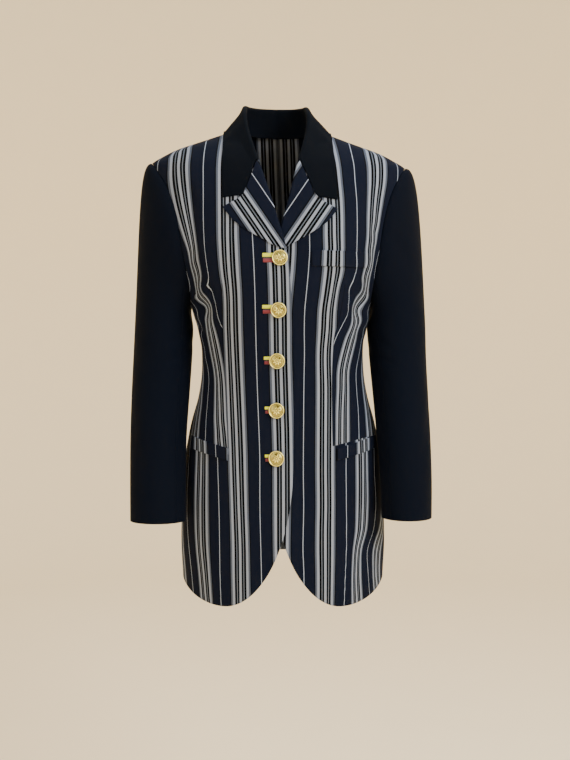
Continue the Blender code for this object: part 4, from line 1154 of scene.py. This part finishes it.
CapHandle = namedtuple("CapHandle", "turn outward forward upward lower")
CAP = [
    CapHandle(0, 0.022, 0.000, 0.004, 0.170),
    CapHandle(45, 0.021, 0.010, -0.003, 0.120),
    CapHandle(90, 0.020, 0.007, -0.010, 0.070),
    CapHandle(135, 0.012, 0.004, -0.014, 0.030),
    CapHandle(180, 0.005, 0.000, -0.012, 0.014),
    CapHandle(225, 0.012, -0.004, -0.014, 0.030),
    CapHandle(270, 0.020, -0.009, -0.010, 0.070),
    CapHandle(315, 0.021, -0.012, -0.003, 0.120),
    CapHandle(360, 0.022, 0.000, 0.004, 0.170),
]
UPPER_SLEEVE_TURNS = (-120, 135)
SleeveCrease = namedtuple("SleeveCrease", "side turn_top z_top turn_end z_end width depth")
SLEEVE_CREASES = [
    SleeveCrease("right", 168, -0.330, 120, -0.352, 0.0060, 0.0016),
    SleeveCrease("right", 175, -0.360, 112, -0.386, 0.0070, 0.0018),
    SleeveCrease("right", 165, -0.392, 125, -0.404, 0.0060, 0.0013),
    SleeveCrease("right", 100, -0.150, 70, -0.215, 0.0090, 0.0010),
    SleeveCrease("right", 30, -0.480, 62, -0.560, 0.0100, 0.0008),
    SleeveCrease("right", 200, -0.340, 250, -0.372, 0.0070, 0.0014),
    SleeveCrease("left", 165, -0.336, 118, -0.362, 0.0060, 0.0016),
    SleeveCrease("left", 172, -0.368, 116, -0.388, 0.0065, 0.0017),
    SleeveCrease("left", 160, -0.400, 128, -0.418, 0.0060, 0.0012),
    SleeveCrease("left", 96, -0.160, 66, -0.220, 0.0090, 0.0011),
    SleeveCrease("left", 24, -0.470, 58, -0.548, 0.0100, 0.0009),
    SleeveCrease("left", 205, -0.350, 255, -0.380, 0.0070, 0.0014),
]
print("sleeve creases", len(SLEEVE_CREASES))

# %% Sleeve shape
CAP_ROWS = 22
SLEEVE_ROWS = 60
COLUMN_DEGREES = 4.0                  # turn between two columns of a sleeve's grid
DEGREE_LENGTH = 0.00085               # cloth round a sleeve for each degree of turn
SLEEVE_RUN_OUT = 1.8
SLEEVE_RADIUS = 0.048                 # mean radius, for the seam's gap as an angle
ARMHOLE_GAP = 0.00045                 # between a sleeve's head and the armhole
NORMAL_SHARE = 0.8                    # how far that gap leans to the body's outward normal
CAP_END = -0.3175                     # middle height at which the cap has become a tube
CAP_END_TILT = 0.0175
CAP_END_STEP = 0.005


def sleeve_start(side, face, turn):
    """Point on the armhole and the direction in which the sleeve leaves it."""
    angle, height = armhole(turn, face)
    point = worn(body(angle, height, side))
    normal = outward(angle, height) * np.array([SIGN[side], 1.0, 1.0])
    degrees = np.degrees(turn) if face == "front" else 360.0 - np.degrees(turn)
    turns = column(CAP, "turn")
    reach = [curve(turns, column(CAP, name), degrees) for name in ("outward", "forward", "upward")]
    leave = np.stack([SIGN[side] * reach[0], -reach[1], reach[2]], axis=-1)
    point = point + unit(unit(leave) + NORMAL_SHARE * normal) * ARMHOLE_GAP
    return point, leave, curve(turns, column(CAP, "lower"), degrees)


def tube_point(side, degrees, height):
    """Outer face of a hanging sleeve below its cap."""
    rows = SLEEVES[side]
    turn = np.radians(degrees)
    reach = from_table(rows, "half_width", height) * np.cos(turn)
    x = from_table(rows, "middle_x", height) + SIGN[side] * reach
    y = from_table(rows, "middle_y", height) - from_table(rows, "half_depth", height) * np.sin(turn)
    return np.stack([x, y, height + 0.0 * turn], axis=-1)


def sleeve_grid(side, degrees):
    """Rows of points from the armhole to the cuff for a run of turns round the sleeve."""
    wrapped = np.mod(degrees, 360.0)
    in_front = wrapped <= 180.0
    turn = np.radians(np.where(in_front, wrapped, 360.0 - wrapped))
    front_start = sleeve_start(side, "front", turn)
    back_start = sleeve_start(side, "back", turn)
    start = np.where(in_front[:, None], front_start[0], back_start[0])
    leave = np.where(in_front[:, None], front_start[1], back_start[1])
    lower = np.where(in_front, front_start[2], back_start[2])
    biceps = CAP_END + CAP_END_TILT * np.cos(np.radians(degrees))
    end = tube_point(side, degrees, biceps)
    rising = unit(tube_point(side, degrees, biceps + CAP_END_STEP) - end)
    t = np.linspace(0.0, 1.0, CAP_ROWS + 1)[:, None, None]
    second, third = start + leave, end + rising * lower[:, None]
    cap = (1 - t)**3 * start + 3 * (1 - t)**2 * t * second + 3 * (1 - t) * t**2 * third + t**3 * end
    share = np.linspace(0.0, 1.0, SLEEVE_ROWS + 1)[1:, None]
    height = biceps[None, :] + (CUFF[side] - biceps[None, :]) * share
    tube = tube_point(side, np.broadcast_to(degrees, height.shape), height)
    return np.concatenate([cap, tube], axis=0)


def sleeve_press(side, degrees, points):
    """Depth of the sleeve's creases at its points."""
    total = np.zeros(points.shape[:2])
    around = np.broadcast_to(degrees, total.shape) * DEGREE_LENGTH
    for crease in SLEEVE_CREASES:
        if crease.side != side:
            continue
        start = (crease.turn_top * DEGREE_LENGTH, crease.z_top)
        end = (crease.turn_end * DEGREE_LENGTH, crease.z_end)
        total += crease.depth * trough(around, points[..., 2], start, end, crease.width, SLEEVE_RUN_OUT)
    return total


# %% Upper and under sleeves
def grid_normals(points, sign):
    """Normals of a grid of points."""
    return unit(np.cross(np.gradient(points, axis=1), np.gradient(points, axis=0))) * sign


for side in ("right", "left"):
    first, last = UPPER_SLEEVE_TURNS
    for kind, low, high in (("upper", first, last), ("under", last, first + 360)):
        trim = math.degrees(SEAM_GAP / 2.0 / SLEEVE_RADIUS)
        degrees = np.linspace(low + trim, high - trim, int((high - low) / COLUMN_DEGREES))
        points = sleeve_grid(side, degrees)
        press = sleeve_press(side, degrees, points)
        points = points - grid_normals(points, SIGN[side]) * press[..., None]
        around = np.broadcast_to(degrees / 360.0, press.shape)
        uv = {"cloth": np.stack([around, points[..., 2]], axis=-1)}
        name = kind + "_sleeve_cloth_" + side
        sleeve = cloth_piece(name, points, SIGN[side], CLOTH, sleeve_cloth, uv)
        node = "%s_sleeve_%s" % (kind, side)
        declare(sleeve, node, points)

# %% [markdown]
# ## Collar
#
# The collar stands up from the neck seam, rolls over and lies on the shoulders and chest. One
# cross-section is bent at each station round the neck, from the seam over the fold to the outer
# edge. The other half is its mirror image.

# %% Collar tables
CollarRow = namedtuple("CollarRow", "foot crest edge_across edge_height edge_face")
COLLAR = [
    CollarRow((0.0000, 0.0480, -0.0020), (0.0000, 0.0500, 0.0500), 0.0000, -0.0200, "back"),
    CollarRow((0.0290, 0.0415, -0.0020), (0.0270, 0.0440, 0.0495), 0.0400, -0.0195, "back"),
    CollarRow((0.0480, 0.0255, -0.0020), (0.0440, 0.0260, 0.0480), 0.0680, -0.0155, "back"),
    CollarRow((0.0590, 0.0060, -0.0025), (0.0505, 0.0050, 0.0455), 0.0840, -0.0080, "back"),
    CollarRow((0.0585, -0.0060, -0.0040), (0.0512, -0.0150, 0.0340), 0.0900, -0.0080, "front"),
    CollarRow((0.0560, -0.0165, -0.0090), (0.0500, -0.0310, 0.0140), 0.0910, -0.0230, "front"),
    CollarRow((0.0545, -0.0275, -0.0195), (0.0462, -0.0440, -0.0070), 0.0915, -0.0440, "front"),
    CollarRow((0.0500, -0.0455, -0.0355), (0.0400, -0.0600, -0.0300), 0.0920, -0.0800, "front"),
    CollarRow((0.0460, -0.0675, -0.0605), (0.0316, -0.0762, -0.0586), 0.0925, -0.1240, "front"),
]
COLLAR_NOTCH = (0.0583, -0.1195)      # distance and height of the corner where the gorge bends
NOTCH_SHARE = 0.56                    # share of the collar's end that lies before that corner
NOTCH_REACH = 3.0                     # table rows over which the end takes that bend
SHOULDER_RIDGE = 0.0016               # lift of the collar where it crosses the shoulder seam
SHOULDER_RIDGE_WIDTH = 0.018


# %% Collar shape
def stand_off(points, level):
    """Points of the left half moved out of the torso where they are nearer to it than level."""
    for _ in range(3):
        height = np.clip(points[..., 2], TORSO[0].height, TORSO[-1].height)
        depth = np.where(points[..., 1] < 0.0, from_table(TORSO, "front", height),
                         from_table(TORSO, "back", height))
        half = from_table(TORSO, "half_width", height)
        angle = np.arctan2(points[..., 0] / half, -points[..., 1] / depth)
        normal = outward(angle, height)
        distance = np.sum((points - ring(angle, height)) * normal, axis=-1)
        short = np.clip(level - distance, 0.0, None) * (points[..., 2] < TORSO[-1].height)
        points = points + normal * short[..., None]
    return points


def bent_strip(foot, crest, edge, up, over, radius, shares):
    """Cross-section that rises from foot, folds over at crest and comes down to edge."""
    inner_count, fold_count, outer_count = shares
    middle = crest - up * radius
    top_in = middle - over * radius
    top_out = middle + over * radius
    stand_control = top_in - up * np.linalg.norm(top_in - foot) * 0.4
    points = []
    for t in np.linspace(0.0, 1.0, inner_count, endpoint=False):
        points.append((1 - t)**2 * foot + 2 * (1 - t) * t * stand_control + t**2 * top_in)
    for turn in np.linspace(0.0, math.pi, fold_count, endpoint=False):
        points.append(middle - over * radius * math.cos(turn) + up * radius * math.sin(turn))
    control = top_out - up * np.linalg.norm(edge - top_out) * 0.45
    for t in np.linspace(0.0, 1.0, outer_count):
        points.append((1 - t)**2 * top_out + 2 * (1 - t) * t * control + t**2 * edge)
    return np.array(points)


def curve_points(knots, points, at):
    """Smooth curve through a table's points."""
    points = np.array(points)
    return np.stack([curve(knots, points[:, k], at) for k in range(3)], axis=-1)


def collar_half(per_knot=8, shares=(14, 12, 34)):
    """Grid of one half of the collar's outer face, from the centre back to the gorge."""
    knots = np.arange(len(COLLAR), dtype=float)
    stations = np.linspace(0.0, knots[-1], per_knot * (len(COLLAR) - 1) + 1)
    foot = curve_points(knots, [row.foot for row in COLLAR], stations)
    crest = curve_points(knots, [row.crest for row in COLLAR], stations)
    edges = []
    for row in COLLAR:
        angle = angle_at(row.edge_across, row.edge_height, row.edge_face)
        lift = outward(angle, row.edge_height) * LAPEL_LEVEL
        edges.append(body(angle, row.edge_height, "left") + lift)
    edge = curve_points(knots, edges, stations)
    tangent = unit(np.gradient(crest, axis=0))
    tangent[0] = (1.0, 0.0, 0.0)
    up = unit(crest - 0.5 * (foot + edge))
    up = unit(up - tangent * np.sum(up * tangent, axis=-1, keepdims=True))
    over = np.cross(up, tangent)
    grid = np.array([bent_strip(foot[i], crest[i], edge[i], up[i], over[i], COLLAR_FOLD, shares)
                     for i in range(len(stations))])
    leaf = shares[0] + shares[1]
    last = grid[-1]
    along = np.linspace(0.0, 1.0, shares[2])
    notch = body(angle_at(*COLLAR_NOTCH), COLLAR_NOTCH[1], "left", LAPEL_LEVEL)
    first_leg = last[leaf] + (notch - last[leaf]) * np.minimum(along / NOTCH_SHARE, 1.0)[:, None]
    second = np.clip((along - NOTCH_SHARE) / (1 - NOTCH_SHARE), 0, 1)[:, None]
    bent = np.where(along[:, None] < NOTCH_SHARE, first_leg, notch + (last[-1] - notch) * second)
    reach = ease(stations, stations[-1] - NOTCH_REACH, stations[-1]) ** 1.5
    grid[:, leaf:] += reach[:, None, None] * (bent - last[leaf:])[None]
    over_shoulder = SHOULDER_RIDGE * np.exp(-(grid[:, leaf:, 1] / SHOULDER_RIDGE_WIDTH) ** 2)
    grid[:, leaf:] = stand_off(grid[:, leaf:], LAPEL_LEVEL + over_shoulder)
    return grid


half = collar_half()
mirrored = half[:0:-1] * np.array([-1.0, 1.0, 1.0])
collar_points = worn(np.concatenate([mirrored, half], axis=0))
collar_uv = np.stack(np.meshgrid(np.linspace(0, 1, collar_points.shape[1]),
                                 np.linspace(0, 1, collar_points.shape[0])), axis=-1)
collar = cloth_piece("collar_cloth", collar_points, -1.0, LAPEL_CLOTH, collar_cloth, {"cloth": collar_uv})
declare(collar, "collar", collar_points)

# %% [markdown]
# ## Lapels
#
# A lapel is the top of the front's facing, folded back on the chest. Its stripes run slantwise,
# because the facing is cut on its own grain. Seen from the front they are straight, so the
# stripe number is the distance across them in the picture, counted in repeats.

# %% Lapel shape
EdgePoint = namedtuple("EdgePoint", "along across height")
LAPEL_EDGE = [
    EdgePoint(0.00, 0.0925, -0.1385),
    EdgePoint(0.18, 0.0760, -0.1600),
    EdgePoint(0.38, 0.0550, -0.1760),
    EdgePoint(0.62, 0.0280, -0.1915),
    EdgePoint(0.82, 0.0090, -0.2020),
    EdgePoint(1.00, -0.0090, -0.2065),
]
ROLL_LIFT = 0.0002                    # how far the roll stays above the lapel at its lower end
CORNER_DROP = 0.0012                  # dip of the lapel's upper edge beside the collar


def lapel_row(t, roll, edge, counts):
    """Places and levels across a lapel: inner leaf, fold, and outer leaf to the curved edge."""
    inner_leaf, fold_points, outer_leaf = counts
    inward = unit(np.array([1.0, -ROLL_SLOPE]))
    roll_level = ROLL_LEVEL + (LAPEL_LEVEL + ROLL_LIFT - ROLL_LEVEL) * ease(t, 0.2, 0.7)
    radius = (roll_level - FACING_LEVEL) / 2.0
    centre = (roll_level + FACING_LEVEL) / 2.0
    leaf_depth = radius + (FACING_RETURN - radius) * (1.0 - 0.8 * ease(t, 0.3, 0.75))
    places = []
    for d in np.linspace(leaf_depth, radius, inner_leaf, endpoint=False):
        places.append((*(roll + inward * d), FACING_LEVEL))
    for turn in np.linspace(0.0, math.pi, fold_points, endpoint=False):
        d = radius * (1.0 - math.sin(turn))
        places.append((*(roll + inward * d), centre - radius * math.cos(turn)))
    start = roll + inward * radius
    middle = start + (edge - start) * 0.5
    for s in np.linspace(0.0, 1.0, outer_leaf):
        bend = (np.array(COLLAR_NOTCH) - middle) * (1.0 - abs(2.0 * s - 1.0))
        place = start + (edge - start) * s + bend * (1.0 - t) ** 2.5
        place = place - np.array([0.0, CORNER_DROP]) * (1.0 - t) ** 6
        places.append((*place, roll_level + (LAPEL_LEVEL - roll_level) * ease(s, 0.0, 0.45)))
    return places


def lapel_grid(side, rows=48, counts=(8, 12, 40)):
    """Grid of a lapel's outer face."""
    along = np.linspace(0.0, 1.0, rows + 1)
    roll_height = (ROLL_TOP[1] - 0.001) + (LAPEL_END - ROLL_TOP[1]) * along
    roll = np.stack([roll_across(roll_height), roll_height], axis=-1)
    edge_across = from_table(LAPEL_EDGE, "across", along)
    edge = np.stack([edge_across, from_table(LAPEL_EDGE, "height", along)], axis=-1)
    grid = np.array([lapel_row(t, roll[i], edge[i], counts) for i, t in enumerate(along)])
    return body(angle_at(grid[..., 0], grid[..., 1]), grid[..., 1], side, grid[..., 2])


LapelGrain = namedtuple("LapelGrain", "across_x across_y group_at repeat")
LAPEL_GRAIN = {
    "right": LapelGrain(0.827, -0.562, 86.9, 47.8),
    "left": LapelGrain(-0.827, -0.562, -380.4, 49.2),
}
for side in ("right", "left"):
    points = worn(lapel_grid(side))
    x, y = in_picture(points)
    grain = LAPEL_GRAIN[side]
    number = 0.5 + (grain.across_x * x + grain.across_y * y - grain.group_at) / grain.repeat
    uvs = {"stripes": np.stack([number, points[..., 2]], axis=-1)}
    lapel = cloth_piece("lapel_cloth_" + side, points, -SIGN[side], LAPEL_CLOTH, striped_cloth, uvs)
    declare(lapel, "lapel_" + side, points)

# %% [markdown]
# ## Welts
#
# A welt is a narrow folded strip that closes a slanted pocket. It is cut so that its stripes
# nearly meet those of the front, with a small jog.

# %% Welts
def welt_points(side, inner_place, outer_place, width, level, rows=14, columns=48):
    """Rows of a strip from its upper edge down, its ends given by distance and height."""
    share = np.linspace(0.0, 1.0, columns)
    across = inner_place[0] + (outer_place[0] - inner_place[0]) * share
    upper = inner_place[1] + (outer_place[1] - inner_place[1]) * share
    height = upper[None, :] - width * np.linspace(0.0, 1.0, rows)[:, None]
    angle = angle_at(np.broadcast_to(across, height.shape), height)
    return angle, height, worn(body(angle, height, side, level))


WELTS = {                             # side, inner end, outer end, width
    "hip_welt_right": ("right", (0.087, -0.5265), (0.1510, -0.5105), 0.0200),
    "hip_welt_left": ("left", (0.087, -0.5265), (0.1510, -0.5105), 0.0200),
    "chest_welt": ("left", (0.0500, -0.2080), (0.1430, -0.2080), 0.0255),
}
WELT_JOG = {"hip_welt_right": 0.02, "hip_welt_left": -0.02, "chest_welt": 0.03}
for node, (side, inner_place, outer_place, width) in WELTS.items():
    angle, height, points = welt_points(side, inner_place, outer_place, width, LAY_GAP + CLOTH)
    main, _, _, _ = front_numbers(side, angle, height)
    uvs = {"stripes": np.stack([main + WELT_JOG[node], height], axis=-1)}
    welt = cloth_piece(node + "_cloth", points, -SIGN[side], CLOTH, striped_cloth, uvs)
    declare(welt, node, points)

# %% [markdown]
# ## Buttons
#
# Each button is a pale gold metal dome with a raised rim. The body is a turned profile, made by
# spinning it once round its axis. The relief is a plain rosette: petals round a bead inside a
# ring of small beads, all from squashed spheres.

# %% Button metal
PLATE_DULL = srgb(226, 212, 108)
PLATE_BRIGHT = srgb(250, 240, 150)
# Painted shade: the dome face, its groove and the foot of each bead are mixed towards this dark colour,
# while the rim and the bead tops keep the plate's colour.
PAINTED_RECESS_SHADE = srgb(74, 62, 20)
metal, metal_tree, metal_shader = new_material("pale_gold")
metal_shader.inputs["Metallic"].default_value = 1.0
metal_place = metal_tree.nodes.new("ShaderNodeTexCoord")
tarnish = noise(metal_tree, metal_place.outputs["Object"], scale=260.0, detail=5.0)
# The UV map read here says how much of the plate's colour each place keeps against that painted shade.
polish, _ = uv_values(metal_tree, "polish")
plated = mix_colour(metal_tree, tarnish, PLATE_DULL, PLATE_BRIGHT)
metal_tree.links.new(mix_colour(metal_tree, polish, PAINTED_RECESS_SHADE, plated),
                     metal_shader.inputs["Base Color"])
metal_tree.links.new(math_node(metal_tree, "MULTIPLY_ADD", tarnish, 0.22, 0.22),
                     metal_shader.inputs["Roughness"])
add_relief(metal_tree, metal_shader, tarnish, strength=0.25, distance=0.0002)
print("button metal nodes", len(metal_tree.nodes))

# %% Button shape
BUTTON_STAND = 0.0022
BUTTON_HEIGHTS = (-0.2215, -0.3040, -0.3855, -0.4650, -0.5415)
BUTTON_ACROSS = (-0.0010, -0.0035, -0.0083, -0.0100, -0.0099)
BUTTON_PROFILE = [
    (0.0000, -0.0019), (0.0022, -0.0019), (0.0022, 0.0000), (0.0108, 0.0000), (0.0118, 0.0003),
    (0.0124, 0.0010), (0.0125, 0.0017), (0.0122, 0.0024), (0.0116, 0.0027), (0.0110, 0.0025),
    (0.0106, 0.0019), (0.0100, 0.0018), (0.0086, 0.0025), (0.0070, 0.0032), (0.0050, 0.0037),
    (0.0025, 0.0040), (0.0000, 0.0041),
]
FACE_PROFILE = sorted(BUTTON_PROFILE[11:])          # the domed face, from its middle to the rim
RIM_RADIUS = 0.0108
GROOVE_RADIUS = 0.0103
GROOVE_HALF_WIDTH = 0.0004
BUTTON_TURN = 23.0                    # degrees by which each rosette is turned past the last
Beads = namedtuple("Beads", "count radius offset size")
ROSETTE = [
    Beads(8, 0.0046, 0.0, (0.0023, 0.0011, 0.0008)),
    Beads(8, 0.0030, 0.5, (0.0013, 0.0006, 0.0007)),
    Beads(32, 0.0092, 0.0, (0.0006, 0.0006, 0.0005)),
    Beads(1, 0.0, 0.0, (0.0013, 0.0013, 0.0010)),
]


def dome_height(radius):
    """Height of the button's face at a distance from its axis."""
    return np.interp(radius, *zip(*FACE_PROFILE))


def add_bead(mesh, radius, turn, size):
    """Squashed sphere on the face, long along the radius."""
    long_way, wide, tall = size
    lift = Matrix.Translation((radius, 0.0, float(dome_height(radius))))
    place = Matrix.Rotation(turn, 4, "Z") @ lift
    shape = place @ Matrix.Diagonal((long_way, wide, tall, 1.0))
    bmesh.ops.create_icosphere(mesh, subdivisions=2, radius=1.0, matrix=shape)


def button_mesh(name):
    """Turned body with its rosette, lying on the XY plane and facing up."""
    mesh = spin_profile(BUTTON_PROFILE, steps=48, weld=0.00001)
    turned = len(mesh.verts)
    for beads in ROSETTE:
        for k in range(beads.count):
            turn = 2.0 * math.pi * (k + beads.offset) / beads.count
            add_bead(mesh, beads.radius, turn, beads.size)
    data = finished_mesh(name, mesh)
    spot = np.empty(len(data.vertices) * 3, dtype=np.float32)
    data.vertices.foreach_get("co", spot)
    spot = spot.reshape(-1, 3)
    radius = np.hypot(spot[:, 0], spot[:, 1])
    raised = np.arange(len(spot)) >= turned
    # Painted shade by vertex: the bead tops and the rim keep the plate's full colour, the dome face keeps
    # 0.30 of it and the groove 0.05.
    painted_lit_by_vertex = np.where(raised, ease(spot[:, 2] - dome_height(radius), -0.0001, 0.0005), 0.30)
    painted_lit_by_vertex = np.where(~raised & (radius > RIM_RADIUS), 1.0, painted_lit_by_vertex)
    painted_lit_by_vertex = np.where(~raised & (abs(radius - GROOVE_RADIUS) < GROOVE_HALF_WIDTH), 0.05, painted_lit_by_vertex)
    add_uv(data, "polish", np.stack([painted_lit_by_vertex, radius], axis=-1))
    data.materials.append(metal)
    data.shade_smooth()
    return data


for number, (across, height) in enumerate(zip(BUTTON_ACROSS, BUTTON_HEIGHTS), start=1):
    angle = angle_at(across * SIGN["right"], height)
    place = worn(body(angle, height, "right", BUTTON_STAND))
    normal = outward(angle, height) * np.array([-1.0, 1.0, 1.0])
    data = button_mesh("button_metal_%d" % number)
    spun = Matrix.Rotation(math.radians(BUTTON_TURN * number), 4, "Z")
    facing = Vector(normal).to_track_quat("Z", "Y").to_matrix().to_4x4()
    data.transform(Matrix.Translation(Vector(place)) @ facing @ spun)
    button = add_object(data.name, data)
    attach(button, "root")
    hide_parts("button_%d" % number)
print("buttons", len(BUTTON_HEIGHTS))

# %% [markdown]
# ## Buttonholes
#
# The buttonholes are sewn in bright thread: a yellow lip above, a red one below and the dark slit
# between. Each lip is a grid bent to a low round ridge on the front, and its thread is a fine
# row of upright stitches in the material.

# %% Thread and slit finishes
STITCH_WIDTH = 0.0007


def thread_material(name, colour):
    """Shiny thread laid in close stitches across the lip."""
    material, tree, shader = new_material(name)
    shader.inputs["Sheen Weight"].default_value = 0.1
    place = tree.nodes.new("ShaderNodeTexCoord")
    split = tree.nodes.new("ShaderNodeSeparateXYZ")
    tree.links.new(place.outputs["Object"], split.inputs[0])
    turns = math_node(tree, "MULTIPLY", split.outputs["X"], 2.0 * math.pi / STITCH_WIDTH)
    wave = math_node(tree, "SINE", turns)
    stitch = math_node(tree, "MULTIPLY_ADD", wave, 0.5, 0.5)
    # Painted shade between the stitches: in the troughs of the wave the thread's colour falls to 0.55 of
    # itself.
    stitch_gap_shade = tuple(0.55 * v for v in colour[:3]) + (1.0,)
    tree.links.new(mix_colour(tree, stitch, stitch_gap_shade, colour), shader.inputs["Base Color"])
    tree.links.new(math_node(tree, "MULTIPLY_ADD", stitch, -0.1, 0.55), shader.inputs["Roughness"])
    add_relief(tree, shader, stitch, strength=0.5, distance=0.0002)
    return material


THREADS = {
    "yellow": thread_material("yellow_thread", srgb(216, 220, 16)),
    "red": thread_material("red_thread", srgb(112, 0, 30)),
    "black": thread_material("black_thread", srgb(8, 9, 12)),
}

# %% Buttonhole lips
Buttonhole = namedtuple("Buttonhole", "x_outer y_top y_bottom")
BUTTONHOLES = [
    Buttonhole(262.4, 252.9, 262.4),
    Buttonhole(262.3, 304.9, 313.6),
    Buttonhole(263.9, 356.6, 364.4),
    Buttonhole(264.8, 406.6, 413.6),
    Buttonhole(264.9, 454.6, 461.6),
]
INNER_END = 279.0                     # pixel column of the holes' ends, hidden by the buttons
THREAD_THICKNESS = 0.0003
THREAD_BASE = 0.00005                 # height of a lip's edges above the cloth
LIP_RISE = 0.0009
SLIT_RISE = 0.0002
SLIT_SHARES = (0.43, 0.56)            # where the slit starts and ends between the lips' edges
SLIT_LAP = 0.5                        # pixels by which it runs under each lip
FRONT_DEPTH = -0.118                  # first guess at the front's place, before it is refined


def on_front(x, y, side, level):
    """Place on a front under a pixel of the picture, level metres above the cloth."""
    depth = np.full(np.shape(x), FRONT_DEPTH)
    for _ in range(6):
        scale = PIXEL * (depth - EYE.y) / -EYE.y
        across = EYE.x + (x - 0.5 * PICTURE[0]) * scale
        height = EYE.z + (0.5 * PICTURE[1] - HORIZON_UP - y) * scale
        drop = from_table(LEANING, "drop", height)
        shift = from_table(LEANING, "shift", height)
        level_height = height + drop * across
        angle = angle_at((across - shift) * SIGN[side], level_height)
        point = worn(body(angle, level_height, side, level))
        depth = point[..., 1]
    return point


def lip(name, x_range, y_range, thread, rise):
    """Low round ridge of thread between two heights of the picture."""
    across = np.linspace(0.0, 1.0, 9)
    x, y = np.meshgrid(np.linspace(*x_range, 40), y_range[0] + (y_range[1] - y_range[0]) * across)
    ridge = np.sqrt(np.clip(1.0 - (2.0 * across - 1.0) ** 2, 0.0, 1.0))
    level = (THREAD_BASE + rise * ridge)[:, None]
    points = on_front(x, y, "right", np.broadcast_to(level, x.shape))
    data = grid_mesh(name, points)
    data.flip_normals()
    data.materials.append(THREADS[thread])
    data.shade_smooth()
    piece = add_object(name, data)
    add_wall(piece, "thread thickness", THREAD_THICKNESS)
    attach(piece, "root")


for number, hole in enumerate(BUTTONHOLES, start=1):
    tall = hole.y_bottom - hole.y_top
    slit_top, slit_bottom = [hole.y_top + share * tall for share in SLIT_SHARES]
    rows = [
        ("slit", 0.8, (slit_top - SLIT_LAP, slit_bottom + SLIT_LAP), "black", SLIT_RISE),
        ("upper", 0.0, (hole.y_top, slit_top), "yellow", LIP_RISE),
        ("lower", 0.6, (slit_bottom, hole.y_bottom), "red", LIP_RISE),
    ]
    for kind, inset, heights, thread, rise in rows:
        name = "buttonhole_%s_%d" % (kind, number)
        lip(name, (hole.x_outer + inset, INNER_END), heights, thread, rise)
print("buttonholes", len(BUTTONHOLES))

# %% [markdown]
# ## Whole cut
#
# The flat sizes add up to the whole cut of cloth that shows.

# %% Finish
print("whole cut %.3f square metres" % sum(area for _, _, _, area in made))
